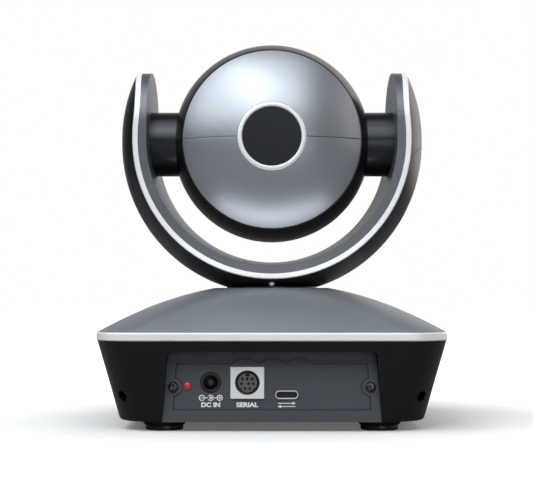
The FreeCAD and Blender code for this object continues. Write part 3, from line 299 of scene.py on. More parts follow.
def glass(name, edge_on, roughness, ior, face_on):
    """Glass that has one colour face on and another edge on."""
    made, tree, shader = new_material(name)
    shader.inputs["IOR"].default_value = ior
    shader.inputs["Transmission Weight"].default_value = 1.0
    shader.inputs["Roughness"].default_value = roughness
    glance = add(tree, "ShaderNodeLayerWeight", Blend=0.35).outputs["Facing"]
    tone = mix_colour(tree, glance, coloured(face_on), coloured(edge_on))
    tree.links.new(tone, shader.inputs["Base Color"])
    return made


def board_material(name):
    """Solder mask with fine copper tracks and pads under it."""
    made = surface(name, (0.012, 0.085, 0.045), 0.3, grain=1800, speckle=0.06, bump=0.02, wear_and_glint=0.0)
    tree = made.node_tree
    shader = tree.nodes["Principled BSDF"]
    place = add(tree, "ShaderNodeTexCoord").outputs["Object"]
    track = add(tree, "ShaderNodeTexBrick", {"offset": 0.35}, Vector=place, Scale=260.0,
                Color1=(0, 0, 0, 1), Color2=(0.25, 0.25, 0.25, 1), Mortar=(1, 1, 1, 1), Mortar_Size=0.03)
    under = shader.inputs["Base Color"].links[0].from_socket
    painted = mix_colour(tree, track.outputs["Color"], under, (0.05, 0.19, 0.09, 1))
    tree.links.new(painted, shader.inputs["Base Color"])
    return made


def lamp_material(name):
    """Red diffused lamp that glows a little."""
    made = surface(name, (0.50, 0.012, 0.02), 0.22, speckle=0.03, bump=0.01, wear_and_glint=0.0, dust=0.0,
                   fixed={"Emission Strength": 0.10, "Coat Weight": 0.5})
    made.node_tree.nodes["Principled BSDF"].inputs["Emission Color"].default_value = (1.0, 0.06, 0.07, 1)
    return made


def window_material(name):
    """Dark red infra-red window."""
    return glass(name, (0.10, 0.008, 0.012), 0.04, 1.49, (0.25, 0.01, 0.02))


def lens_material(name):
    """Coated front glass, faintly blue."""
    return glass(name, (0.95, 0.97, 1.0), 0.0, 1.6, (0.72, 0.80, 1.0))


# Colour, roughness, metallic share and the rest; a colour given as a word is the user's own.
FINISHES = {
    "black_shell": ("shell", 0.36, 0,
                    dict(grain=3200, bump=0.03, wear_and_glint=0.12, fixed={"Specular IOR Level": 0.3})),
    "gunmetal_cover": ("cover", 0.46, 0.65,
                       dict(grain=4200, bump=0.015, wear_and_glint=0.12, worn_and_glint=(0.45, 0.47, 0.50))),
    "silver_cap": ("silver", 0.41, 0.92,
                   dict(grain=5200, speckle=0.05, cloud=0.02, bump=0.006, wear_and_glint=0.15,
                        worn_and_glint=(0.6, 0.62, 0.66), dust=0.0)),
    "silver_trim": ("trim", 0.36, 0.15,
                    dict(grain=3000, speckle=0.04, bump=0.005, wear_and_glint=0.3, worn_and_glint=(0.9, 0.92, 0.95), dust=0.0)),
    # yoke_grey: painted shade in its inner corners
    "yoke_grey": ("frame", 0.42, 0.60, dict(grain=4200, bump=0.015, wear_and_glint=0.1, crease_shade=0.6)),
    "yoke_black": ((0.020, 0.021, 0.024), 0.36, 0.6, dict(grain=3600, bump=0.015, wear_and_glint=0.12)),
    "collar_black": ((0.045, 0.048, 0.054), 0.30, 0.85, dict(grain=3600, bump=0.015, wear_and_glint=0.1)),
    "ball_black": ("ball", 0.30, 0.3, dict(grain=3600, bump=0.015, wear_and_glint=0.1)),
    # panel_grey: painted shade along the pocket's edges and in its corners
    "panel_grey": ("panel", 0.5, 0,
                   dict(grain=2600, speckle=0.12, bump=0.05, wear_and_glint=0.35, crease_shade=1.0,
                        fixed={"Specular IOR Level": 0.35})),
    "disc_charcoal": ("badge", 0.45, 0,
                      dict(grain=3000, wear_and_glint=0.0, dust=0.0, fixed={"Specular IOR Level": 0.3})),
    "bright_ring": ((0.96, 0.97, 0.98), 0.32, 0.10, dict(speckle=0.02, bump=0.003, wear_and_glint=0.0, dust=0.0)),
    "nickel": ((0.97, 0.97, 0.97), 0.42, 0.40,
               dict(grain=1500, speckle=0.05, bump=0.01, wear_and_glint=0.2, worn_and_glint=(0.95, 0.95, 0.95))),
    "port_plastic": ((0.010, 0.010, 0.011), 0.45, 0, dict(bump=0.04, wear_and_glint=0.1)),
    # black_screw: full edge wear to light grey paints bright edges on the heads, painted glints as well as wear
    "black_screw": ((0.06, 0.06, 0.064), 0.22, 0.9,
                    dict(grain=1800, bump=0.03, wear_and_glint=1.0, worn_and_glint=(0.5, 0.5, 0.52))),
    "dark_steel": ((0.03, 0.031, 0.033), 0.42, 0.7, dict(grain=1200, speckle=0.2, bump=0.03, wear_and_glint=0.4)),
    "brass_insert": ((0.60, 0.43, 0.19), 0.28, 1.0, dict(grain=900, wear_and_glint=0.3, worn_and_glint=(0.85, 0.70, 0.40))),
    "foot_rubber": ((0.012, 0.012, 0.013), 0.28, 0, dict(grain=2200, bump=0.03, wear_and_glint=0.0)),
    "chip_black": ((0.012, 0.012, 0.013), 0.5, 0, dict(grain=2600, bump=0.06)),
    "steel": ((0.56, 0.57, 0.58), 0.26, 1.0, dict(grain=1500, speckle=0.08, bump=0.015)),
    "aluminium_post": ((0.62, 0.63, 0.65), 0.34, 1.0, dict(grain=1200)),
    "motor_steel": ((0.38, 0.39, 0.40), 0.34, 1.0, dict(grain=1000, speckle=0.14, bump=0.03)),
    "white_nylon": ((0.72, 0.72, 0.68), 0.42, 0,
                    dict(grain=1800, speckle=0.04, fixed={"Subsurface Weight": 0.1})),
    "gloss_black": ((0.006, 0.006, 0.007), 0.10, 0,
                    dict(speckle=0.02, bump=0.004, wear_and_glint=0.05,
                         fixed={"Coat Weight": 0.6, "Coat Roughness": 0.04})),
    "barrel_black": ((0.010, 0.010, 0.011), 0.46, 0, dict(grain=2600, bump=0.05, wear_and_glint=0.2)),
}
OWN_MAKERS = {"circuit_board": board_material, "red_lens": lamp_material, "dark_window": window_material,
              "lens_glass": lens_material}


def slot_material(slot):
    """The finish of one of the record's material slots, made once."""
    name = slot + " finish"
    known = bpy.data.materials.get(name)
    if known:
        return known
    if slot in OWN_MAKERS:
        return OWN_MAKERS[slot](name)
    colour, roughness, metallic, rest = FINISHES[slot]
    if isinstance(colour, str):
        colour = getattr(finish(), colour)
    return surface(name, colour, roughness, metallic, **rest)


# ------------------------------------------------------------------ mesh helpers
def linked(name, mesh):
    piece = bpy.data.objects.new(name, mesh)
    bpy.context.scene.collection.objects.link(piece)
    return piece


def from_work(name, work):
    """A piece made from a finished bmesh, which is freed."""
    mesh = bpy.data.meshes.new(name)
    work.to_mesh(mesh)
    work.free()
    return linked(name, mesh)


def discard(*pieces):
    for piece in pieces:
        mesh = piece.data
        bpy.data.objects.remove(piece)
        bpy.data.meshes.remove(mesh)


def add_block(work, size, place=(0, 0, 0), turn=0.0):
    """Adds a box to a bmesh, turned about Y before it is placed."""
    corners = bmesh.ops.create_cube(work, size=1.0)["verts"]
    bmesh.ops.scale(work, vec=size, verts=corners)
    bmesh.ops.rotate(work, cent=(0, 0, 0), matrix=Matrix.Rotation(turn, 3, "Y"), verts=corners)
    bmesh.ops.translate(work, vec=place, verts=corners)


def applied(piece):
    """The piece with its modifiers turned into plain mesh."""
    bpy.context.view_layer.update()
    graph = bpy.context.evaluated_depsgraph_get()
    mesh = bpy.data.meshes.new_from_object(piece.evaluated_get(graph), depsgraph=graph)
    old = piece.data
    piece.modifiers.clear()
    piece.data = mesh
    mesh.name = piece.name
    bpy.data.meshes.remove(old)
    return piece


def merged(mesh, flat_limit=0.6):
    """Joins the loose corners of a mesh and clears the edges inside its flat faces."""
    work = bmesh.new()
    work.from_mesh(mesh)
    bmesh.ops.remove_doubles(work, verts=work.verts, dist=2e-6)
    bmesh.ops.dissolve_limit(work, angle_limit=math.radians(flat_limit), verts=work.verts,
                             edges=work.edges)
    work.to_mesh(mesh)
    work.free()


def softened(name, node, width, segments=3, corner=38.0):
    """Copy of a CAD node with its sharp edges rounded."""
    mesh = frame["nodes"][node].data.copy()
    merged(mesh)
    piece = linked(name, mesh)
    for face in mesh.polygons:
        face.use_smooth = True
    edge = piece.modifiers.new("edges", "BEVEL")
    edge.width = width
    edge.segments = segments
    edge.limit_method = "ANGLE"
    edge.angle_limit = math.radians(corner)
    edge.harden_normals = True
    even = piece.modifiers.new("normals", "WEIGHTED_NORMAL")
    even.keep_sharp = True
    even.weight = 90
    return applied(piece)


def finished(piece, slot, body, *nodes):
    """Gives a piece its finish and its body, and lets it stand for CAD nodes."""
    piece.data.materials.clear()
    piece.data.materials.append(slot_material(slot))
    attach(piece, body)
    if nodes:
        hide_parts(*nodes)
    return piece


def rounded_node(node, body, width):
    """A CAD node replaced by its softened copy in the same finish."""
    return finished(softened(node + "_visible", node, width), SLOT_OF[node], body, node)


def set_smooth(mesh, angle=35.0):
    for face in mesh.polygons:
        face.use_smooth = True
    mesh.set_sharp_from_angle(angle=math.radians(angle))


def rounded_outline(points, steps=5):
    """Closed outline whose corners, given as (a, b, radius), are rounded."""
    made = []
    count = len(points)
    for k, (a, b, radius) in enumerate(points):
        here = Vector((a, b))
        before = Vector(points[k - 1][:2]) - here
        after = Vector(points[(k + 1) % count][:2]) - here
        turn = before.angle(after)
        if radius <= 0 or turn > math.pi - 1e-3:
            made.append(here)
            continue
        reach = min(radius / math.tan(turn / 2), before.length * 0.49, after.length * 0.49)
        first = here + before.normalized() * reach
        last = here + after.normalized() * reach
        for s in range(steps + 1):
            t = s / steps
            made.append(first * (1 - t) ** 2 + here * 2 * t * (1 - t) + last * t ** 2)
    return made


def turned(name, outline, centre=Vector((0, 0, 0)), axis="Y", segments=128):
    """Ring or solid turned about an axis through a centre, from a closed outline of (along, radius)."""
    work = bmesh.new()
    rings = []
    for k in range(segments):
        angle = 2 * math.pi * k / segments
        ring = []
        for along, radius in outline:
            side, lift = radius * math.cos(angle), radius * math.sin(angle)
            place = {"Y": (side, along, lift), "Z": (side, lift, along)}[axis]
            ring.append(work.verts.new(Vector(place) + centre))
        rings.append(ring)
    count = len(outline)
    for k in range(segments):
        here, there = rings[k], rings[(k + 1) % segments]
        for j in range(count):
            work.faces.new((here[j], here[(j + 1) % count], there[(j + 1) % count], there[j]))
    bmesh.ops.remove_doubles(work, verts=work.verts, dist=1e-7)
    bmesh.ops.dissolve_degenerate(work, edges=work.edges, dist=1e-8)
    bmesh.ops.recalc_face_normals(work, faces=work.faces)
    piece = from_work(name, work)
    set_smooth(piece.data)
    return piece


def joined(name, parts):
    """One piece from several, which are removed."""
    work = bmesh.new()
    for part in parts:
        work.from_mesh(part.data)
    discard(*parts)
    return from_work(name, work)


# ------------------------------------------------------------------ geometry-node helpers
def geometry_tree(name, inputs):
    """Empty modifier tree with named inputs (name, kind, default)."""
    tree = bpy.data.node_groups.new(name, "GeometryNodeTree")
    tree.is_modifier = True
    tree.interface.new_socket(name="Geometry", in_out="INPUT", socket_type="NodeSocketGeometry")
    for label, kind, value in inputs:
        socket = tree.interface.new_socket(name=label, in_out="INPUT", socket_type=kind)
        if value is not None:
            socket.default_value = value
    tree.interface.new_socket(name="Geometry", in_out="OUTPUT", socket_type="NodeSocketGeometry")
    return tree, tree.nodes.new("NodeGroupInput").outputs, tree.nodes.new("NodeGroupOutput").inputs


def closing(tree, geometry, material, out):
    """Every tree ends in real geometry with one finish."""
    real = add(tree, "GeometryNodeRealizeInstances", Geometry=geometry).outputs["Geometry"]
    painted = add(tree, "GeometryNodeSetMaterial", Geometry=real, Material=material).outputs["Geometry"]
    tree.links.new(painted, out["Geometry"])


def from_tree(name, tree, values, smooth=40.0):
    """A plain mesh made by a tree whose named inputs are set on the modifier."""
    piece = linked(name, bpy.data.meshes.new(name))
    modifier = piece.modifiers.new("shape", "NODES")
    modifier.node_group = tree
    for item in tree.interface.items_tree:
        if item.in_out == "INPUT" and item.name in values:
            modifier[item.identifier] = values[item.name]
    applied(piece)
    set_smooth(piece.data, smooth)
    return piece


def copies_tree():
    """Copies of one object on the points of another, each turned by its own seeded angle about an axis."""
    known = bpy.data.node_groups.get("Copies on Points")
    if known:
        return known
    tree, given, out = geometry_tree("Copies on Points", [
        ("Places", OBJECT, None), ("Pattern", OBJECT, None), ("Turn", VECTOR, (0, 0, 0)),
        ("Seed", WHOLE, 3), ("Finish", MATERIAL, None)])
    places = add(tree, "GeometryNodeObjectInfo", Object=given["Places"]).outputs["Geometry"]
    pattern = add(tree, "GeometryNodeObjectInfo", Object=given["Pattern"]).outputs["Geometry"]
    share = add(tree, "FunctionNodeRandomValue", {"data_type": "FLOAT"}, Seed=given["Seed"])
    angle = add(tree, "ShaderNodeVectorMath", {"operation": "SCALE"}, i0=given["Turn"],
                Scale=share.outputs[1])
    copies = add(tree, "GeometryNodeInstanceOnPoints", Points=places, Instance=pattern,
                 Rotation=angle.outputs[0])
    closing(tree, copies.outputs["Instances"], given["Finish"], out)
    return tree


def on_points(name, places, pattern, slot, turn=(0, 0, 0), seed=3):
    """One mesh of a pattern's copies on places; the pattern and the places are removed."""
    mesh = bpy.data.meshes.new(name + "_places")
    mesh.from_pydata([tuple(p) for p in places], [], [])
    spots = linked(name + "_places", mesh)
    made = from_tree(name, copies_tree(), {"Places": spots, "Pattern": pattern, "Turn": turn,
                                           "Seed": seed, "Finish": slot_material(slot)})
    discard(spots, pattern)
    return made


def ribs_tree():
    """Ribs round a circle: one small six-sided bar, copied round it."""
    tree, given, out = geometry_tree("Ribs Round a Circle", [
        ("Count", WHOLE, 60), ("Radius", FLOAT, 14 * MM), ("Rib", VECTOR, (1, 1, 1)),
        ("Centre", VECTOR, (0, 0, 0)), ("Finish", MATERIAL, None)])
    circle = add(tree, "GeometryNodeMeshCircle", {"fill_type": "NONE"}, Vertices=given["Count"],
                 Radius=given["Radius"]).outputs["Mesh"]
    rib = add(tree, "GeometryNodeMeshCylinder", {"fill_type": "NGON"}, Vertices=6, Radius=0.5, Depth=1.0)
    shaped = add(tree, "GeometryNodeTransform", Geometry=rib.outputs["Mesh"], Scale=given["Rib"])
    place = add(tree, "GeometryNodeInputPosition").outputs[0]
    around = add(tree, "FunctionNodeAlignRotationToVector", {"axis": "X"}, Vector=place).outputs[0]
    copies = add(tree, "GeometryNodeInstanceOnPoints", Points=circle, Instance=shaped.outputs["Geometry"],
                 Rotation=around)
    turned_up = add(tree, "GeometryNodeTransform", Geometry=copies.outputs["Instances"],
                    Rotation=(math.pi / 2, 0, 0), Translation=given["Centre"]).outputs["Geometry"]
    closing(tree, turned_up, given["Finish"], out)
    return tree


# ------------------------------------------------------------------ the pieces
class PieceOperator(bpy.types.Operator):
    bl_options = {"REGISTER", "UNDO"}


class PTZ_OT_base_housing(PieceOperator):
    """Lower housing, bottom plate and the window in its front wall"""
    bl_idname = "ptz.base_housing"
    bl_label = "Base housing"

    def execute(self, context):
        rounded_node("base_shell", "base", sizes().edge_round)
        rounded_node("base_plate", "base", sizes().fine_round)
        rounded_node("ir_window", "base", sizes().fine_round)
        return {"FINISHED"}


class PTZ_OT_top_cover(PieceOperator):
    """Domed cover of the base and the silver band under it"""
    bl_idname = "ptz.top_cover"
    bl_label = "Top cover and band"

    def execute(self, context):
        rounded_node("base_top_cover", "base", sizes().edge_round)
        rounded_node("base_trim_band", "base", sizes().fine_round * 1.4)
        return {"FINISHED"}


class PTZ_OT_rear_panel(PieceOperator):
    """Connector panel with its pocket"""
    bl_idname = "ptz.rear_panel"
    bl_label = "Rear panel"

    def execute(self, context):
        rounded_node("rear_panel", "base", sizes().fine_round)
        return {"FINISHED"}


def screw_pattern(name, radius, height, sink):
    """Domed screw head along +Y with a cross recess, its bearing face at the origin."""
    neck = radius * 0.45
    outline = rounded_outline([(-sink, 0, 0), (-sink, neck, 0), (0, neck, 0), (0, radius, 0.02 * MM),
                               (height * 0.55, radius, radius * 0.15),
                               (height * 0.92, radius * 0.72, radius * 0.3), (height, 0, 0)], 4)
    head = turned(name, outline, segments=40)
    arm_length, arm_width = radius * 1.16, radius * 0.26
    work = bmesh.new()
    for turn in (0, math.pi / 2):
        add_block(work, (arm_length, height, arm_width), (0, height * 0.95, 0), turn)
    cross = from_work("cross", work)
    cut = head.modifiers.new("cross", "BOOLEAN")
    cut.operation = "DIFFERENCE"
    cut.object = cross
    cut.solver = "EXACT"
    cut.use_self = True
    applied(head)
    discard(cross)
    set_smooth(head.data, 30)
    return head


class PTZ_OT_panel_screws(PieceOperator):
    """The two screws that hold the connector panel"""
    bl_idname = "ptz.panel_screws"
    bl_label = "Panel screws"

    def execute(self, context):
        low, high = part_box("rear_panel_screws")
        radius = (high.z - low.z) / 2
        places = [(x, PANEL_FACE, (low.z + high.z) / 2) for x in (low.x + radius, high.x - radius)]
        pattern = screw_pattern("panel_screw", radius, high.y - PANEL_FACE, 1.5 * MM)
        made = on_points("panel_screws", places, pattern, "black_screw", (0, 1.2, 0))
        finished(made, "black_screw", "base", "rear_panel_screws")
        return {"FINISHED"}


class PTZ_OT_power_inlet(PieceOperator):
    """Round power inlet with its centre pin"""
    bl_idname = "ptz.power_inlet"
    bl_label = "Power inlet"

    def execute(self, context):
        rounded_node("dc_jack", "base", sizes().fine_round * 1.6)
        pin = rounded_node("dc_jack_pin", "base", sizes().fine_round)
        # the pin is painted dark grey as painted shade for the inside of the inlet's bore
        pin.data.materials[0] = surface("shaded_pin", (0.10, 0.10, 0.105), 0.30, 0.9, wear_and_glint=0.0)
        return {"FINISHED"}


class PTZ_OT_serial_port(PieceOperator):
    """Round eight-pole socket in its plated shell, with a sprung sleeve in each hole"""
    bl_idname = "ptz.serial_port"
    bl_label = "Serial port"

    def execute(self, context):
        rounded_node("serial_socket_shell", "base", sizes().fine_round * 1.6)
        insert = rounded_node("serial_socket_insert", "base", sizes().fine_round * 0.6)
        # the insert gets painted shade in its holes and inner corners
        insert.data.materials[0] = surface("socket_grey", (0.12, 0.12, 0.123), 0.45, wear_and_glint=0.1, crease_shade=0.7)
        centre = middle("serial_socket_insert")
        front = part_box("serial_socket_insert")[1].y
        bore, wall = 0.26 * MM, 0.47 * MM
        rear, mouth, lip = -2.4 * MM, -1.3 * MM, 0.05 * MM
        sleeve = turned("sleeve", rounded_outline([(rear, bore, 0), (rear, wall, 0), (mouth, wall, lip),
                                                   (mouth, bore, lip)], 2), segments=20)
        # three holes above, three in the middle and two below, in mm from the socket's middle
        holes = [(-1.9, 1.45), (0, 1.45), (1.9, 1.45), (-2.3, -0.45), (-0.5, -0.45), (2.3, -0.45),
                 (-0.95, -2.35), (0.95, -2.35)]
        places = [(centre.x + a * MM, front, centre.z + b * MM) for a, b in holes]
        made = on_points("serial_sleeves", places, sleeve, "port_plastic")
        finished(made, "port_plastic", "base")
        return {"FINISHED"}


def data_port_moulding():
    """Plain moulding that closes the data port a little behind its mouth."""
    low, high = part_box("usb_c_shell")
    margin, thickness, depth = 0.8 * MM, 0.4 * MM, 1.7 * MM
    centre = middle("usb_c_shell")
    work = bmesh.new()
    add_block(work, (high.x - low.x - margin, thickness, high.z - low.z - margin),
              (centre.x, high.y - depth, centre.z))
    finished(from_work("data_port_moulding", work), "port_plastic", "base")


class PTZ_OT_data_port(PieceOperator):
    """Flat data port with its tongue and the contacts on it"""
    bl_idname = "ptz.data_port"
    bl_label = "Data port"

    def execute(self, context):
        rounded_node("usb_c_shell", "base", sizes().fine_round * 0.8)
        rounded_node("usb_c_tongue", "base", sizes().fine_round * 0.6)
        data_port_moulding()
        work = bmesh.new()
        add_block(work, (0.26 * MM, 3.0 * MM, 0.06 * MM))
        contact = from_work("contact", work)
        low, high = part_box("usb_c_tongue")
        count, margin, proud = 12, 0.4 * MM, 0.01 * MM
        step = (high.x - low.x - 2 * margin) / (count - 1)
        places = [(low.x + margin + step * k, high.y - 2.6 * MM, z) for k in range(count)
                  for z in (low.z - proud, high.z + proud)]
        made = on_points("data_contacts", places, contact, "brass_insert")
        finished(made, "brass_insert", "base")
        return {"FINISHED"}


class PTZ_OT_status_lamp(PieceOperator):
    """Red status lamp"""
    bl_idname = "ptz.status_lamp"
    bl_label = "Status lamp"

    def execute(self, context):
        rounded_node("status_led", "base", sizes().fine_round * 0.5)
        return {"FINISHED"}


# ------------------------------------------------------------------ printed signs
def flat_shape(work, points, front, thick):
    """Adds a flat shape, given as (x, z) in metres, standing proud of the panel."""
    front_face = [work.verts.new((x, front + thick, z)) for x, z in points]
    rear_face = [work.verts.new((x, front - thick, z)) for x, z in points]
    count = len(points)
    work.faces.new(front_face)
    work.faces.new(list(reversed(rear_face)))
    for k in range(count):
        n = (k + 1) % count
        work.faces.new((front_face[k], rear_face[k], rear_face[n], front_face[n]))


def ring_shape(work, x, z, outer, inner, front, thick, steps=28, start=0.0, turn=2 * math.pi):
    """Adds a flat ring, or part of one, as short joined tiles."""
    closed = turn > 2 * math.pi - 1e-6
    count = steps if closed else steps + 1
    loops = []
    for k in range(count):
        a = start + turn * k / steps
        c, s = math.cos(a), math.sin(a)
        loops.append([work.verts.new((x + r * c, front + y, z + r * s))
                      for r, y in ((outer, thick), (inner, thick), (inner, -thick), (outer, -thick))])
    for k in range(steps):
        here, there = loops[k], loops[(k + 1) % count]
        for j in range(4):
            n = (j + 1) % 4
            work.faces.new((here[j], here[n], there[n], there[j]))
    if not closed:
        work.faces.new(loops[0])
        work.faces.new(list(reversed(loops[-1])))


def bar(work, x0, x1, z0, z1, front, thick):
    flat_shape(work, [(x0, z0), (x1, z0), (x1, z1), (x0, z1)], front, thick)


def word(text, x, z, width, front):
    """Printed word facing the rear, centred on x, with its capitals as tall as the size says."""
    curve = bpy.data.curves.new(text, "FONT")
    curve.body = text
    curve.align_x = "CENTER"
    curve.align_y = "CENTER"
    curve.offset = 0.05
    curve.extrude = 0.02
    curve.resolution_u = 6
    letters = bpy.data.objects.new(text, curve)
    bpy.context.scene.collection.objects.link(letters)
    bpy.context.view_layer.update()
    graph = bpy.context.evaluated_depsgraph_get()
    mesh = bpy.data.meshes.new_from_object(letters.evaluated_get(graph), depsgraph=graph)
    bpy.data.objects.remove(letters)
    bpy.data.curves.remove(curve)
    low = Vector([min(v.co[k] for v in mesh.vertices) for k in range(3)])
    high = Vector([max(v.co[k] for v in mesh.vertices) for k in range(3)])
    centre = (low + high) / 2
    wide, tall = width / (high.x - low.x), sizes().word_height / (high.y - low.y)
    deep = 2 * sizes().ink_height / (high.z - low.z)
    for v in mesh.vertices:
        a, b, c = v.co - centre
        v.co = (x - a * wide, front + c * deep, z + b * tall)
    return linked("word_" + text.replace(" ", "_"), mesh)


def polarity_sign(work, x, front):
    """Minus in a ring on the left as seen, a C round a dot, and plus in a ring on the right."""
    thick = sizes().ink_height
    z, radius, reach = 13.2 * MM, 1.2 * MM, 3.5 * MM
    line, stroke, lead, gap = 0.36 * MM, 0.16 * MM, 0.17 * MM, 0.05 * MM
    left, right = x + reach, x - reach
    for centre in (left, right):
        ring_shape(work, centre, z, radius, radius - line, front, thick)
        bar(work, centre - 0.55 * MM, centre + 0.55 * MM, z - stroke, z + stroke, front, thick)
    for level in (z - 0.36 * MM, z + 0.36 * MM):
        bar(work, right - stroke, right + stroke, level - 0.2 * MM, level + 0.2 * MM, front, thick)
    ring_shape(work, x, z, radius, radius - line, front, thick, 22, math.radians(35), math.radians(290))
    ring_shape(work, x, z, 0.52 * MM, 0.02 * MM, front, thick, 16)
    bar(work, x + radius - gap, left - radius + gap, z - lead, z + lead, front, thick)
    bar(work, right + radius - gap, x - 0.3 * MM, z - lead, z + lead, front, thick)


def arrows_sign(work, x, front):
    """Two arrows that pass each other."""
    thick = sizes().ink_height
    middle_line, spread, barb, half = 10.45 * MM, 0.62 * MM, 0.62 * MM, 0.17 * MM
    for way in (1, -1):
        z = middle_line + way * spread
        tail, neck, point = x + way * 3.4 * MM, x - way * 2.2 * MM, x - way * 3.6 * MM
        bar(work, min(tail, neck), max(tail, neck), z - half, z + half, front, thick)
        flat_shape(work, [(neck, z + barb), (point, z), (neck, z - barb)], front, thick)


class PTZ_OT_signs(PieceOperator):
    """Plain printed signs under the ports: polarity, two words and a two-way arrow"""
    bl_idname = "ptz.signs"
    bl_label = "Printed signs"

    def execute(self, context):
        front = PANEL_FACE - 0.45 * MM
        power, serial, data = (middle(n).x for n in ("dc_jack", "serial_socket_shell", "usb_c_shell"))
        work = bmesh.new()
        polarity_sign(work, power, front)
        arrows_sign(work, data, front)
        bmesh.ops.recalc_face_normals(work, faces=work.faces)
        word_line = 10.5 * MM
        made = joined("port_signs", [from_work("marks", work),
                                     word("DC IN", power, word_line, 7.4 * MM, front),
                                     word("SERIAL", serial, word_line, 8.6 * MM, front)])
        finished(made, "panel_grey", "base")
        made.data.materials[0] = surface("sign_ink", (0.95, 0.95, 0.96), 0.5, speckle=0.05, cloud=0.04,
                                         bump=0.03, wear_and_glint=0.0, dust=0.0)
        return {"FINISHED"}


def foot_radius():
    """Radius of one rubber foot, from the corners of the two pads on the right."""
    mesh = frame["nodes"]["foot_pads"].data
    right = [v.co.x for v in mesh.vertices if v.co.x > 0]
    return (max(right) - min(right)) / 2


def foot_outline(radius, top, grooves):
    """Half section of a rubber foot with rings moulded in its lower face, as (height, radius, rounding)."""
    sunk, fine, soft = 0.25 * MM, 0.05 * MM, 0.08 * MM
    inner, outer = radius * 0.35, radius * 0.86
    outline = [(sunk, 0, 0)]
    for k in range(grooves):
        a = inner + (outer - inner) * k / grooves
        b = a + (outer - inner) / grooves
        outline += [(sunk, a, fine), (0, a + 0.12 * MM, soft), (0, b - 0.42 * MM, soft),
                    (sunk, b - 0.3 * MM, fine)]
    outline += [(sunk, outer, fine), (0, outer + 0.12 * MM, soft), (0, radius - 0.3 * MM, 0.25 * MM),
                (0.5 * MM, radius, 0.3 * MM), (top, radius, 0.2 * MM), (top, 0, 0)]
    return rounded_outline(outline, 4)


class PTZ_OT_feet(PieceOperator):
    """Rubber feet with moulded rings, and their holders"""
    bl_idname = "ptz.feet"
    bl_label = "Feet"

    def execute(self, context):
        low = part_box("foot_pads")[0]
        radius = foot_radius()
        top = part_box("foot_holders")[0].z - 0.02 * MM
        pad = turned("pad", foot_outline(radius, top, sizes().pad_grooves), axis="Z", segments=72)
        x, y = low.x + radius, low.y + radius
        places = [(sx * x, sy * y, 0) for sx in (-1, 1) for sy in (-1, 1)]
        pads = on_points("foot_pads_visible", places, pad, "foot_rubber")
        finished(pads, "foot_rubber", "base", "foot_pads")
        rounded_node("foot_holders", "base", sizes().edge_round * 0.6)
        return {"FINISHED"}


class PTZ_OT_tripod_insert(PieceOperator):
    """Threaded brass insert in the middle of the bottom plate"""
    bl_idname = "ptz.tripod_insert"
    bl_label = "Tripod insert"

    def execute(self, context):
        rounded_node("tripod_insert", "base", sizes().fine_round)
        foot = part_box("tripod_insert")[0].z + 0.2 * MM
        made = from_tree("tripod_thread", thread_tree(), {
            "Radius": 2.62 * MM, "Rise": 5.6 * MM, "Turns": 4.4, "Ridge": 0.22 * MM,
            "Foot": (0, 0, foot), "Finish": slot_material("brass_insert")})
        finished(made, "brass_insert", "base")
        return {"FINISHED"}


def thread_tree():
    """Thread ridge: a fine round profile swept along a helix."""
    tree, given, out = geometry_tree("Thread Ridge", [
        ("Radius", FLOAT, 3 * MM), ("Rise", FLOAT, 6 * MM),
        ("Turns", FLOAT, 4.0), ("Ridge", FLOAT, 0.2 * MM),
        ("Foot", VECTOR, (0, 0, 0)), ("Finish", MATERIAL, None)])
    helix = add(tree, "GeometryNodeCurveSpiral", Resolution=48, Rotations=given["Turns"],
                Start_Radius=given["Radius"], End_Radius=given["Radius"],
                Height=given["Rise"]).outputs["Curve"]
    ridge = add(tree, "GeometryNodeCurvePrimitiveCircle", {"mode": "RADIUS"}, Resolution=8,
                Radius=given["Ridge"]).outputs["Curve"]
    swept = add(tree, "GeometryNodeCurveToMesh", Curve=helix, Profile_Curve=ridge, Fill_Caps=True)
    placed = add(tree, "GeometryNodeTransform", Geometry=swept.outputs["Mesh"],
                 Translation=given["Foot"]).outputs["Geometry"]
    closing(tree, placed, given["Finish"], out)
    return tree


def lock_screw_dome():
    """Polished domed cap on the lock screw low at the rear of the yoke."""
    lean, radius, sink = math.radians(25.6), 1.25 * MM, 0.1 * MM
    way = Vector((0, math.sin(lean), -math.cos(lean)))
    rear = [v.co for v in frame["nodes"]["yoke_screws"].data.vertices if v.co.y > 14 * MM]
    top = max(point.dot(way) for point in rear)
    centre = sum(rear, Vector()) / len(rear)
    seat = centre + way * (top - centre.dot(way))
    height = radius * 0.9
    angles = [math.radians(15 * k) for k in range(6)]
    outline = [(-sink, 0), (-sink, radius), *[(height * math.sin(a), radius * math.cos(a)) for a in angles],
               (height, 0)]
    dome = turned("lock_screw_dome", outline, axis="Z", segments=40)
    turn = Vector((0, 0, 1)).rotation_difference(way).to_matrix().to_4x4()
    dome.data.transform(Matrix.Translation(seat) @ turn)
    finished(dome, "nickel", "yoke")


def glide_washer():
    """Dark ring that fills the gap between the yoke's flat foot and the cover: a glide washer that also stands in
    as painted shade for that gap.
    """
    inner, outer, gap = 14.3 * MM, 19.2 * MM, 0.03 * MM
    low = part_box("base_top_cover")[1].z + gap
    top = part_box("yoke_outer_cover")[0].z - gap
    ring = turned("glide_washer", [(low, inner), (low, outer), (top, outer), (top, inner)], axis="Z")
    finished(ring, "collar_black", "yoke")


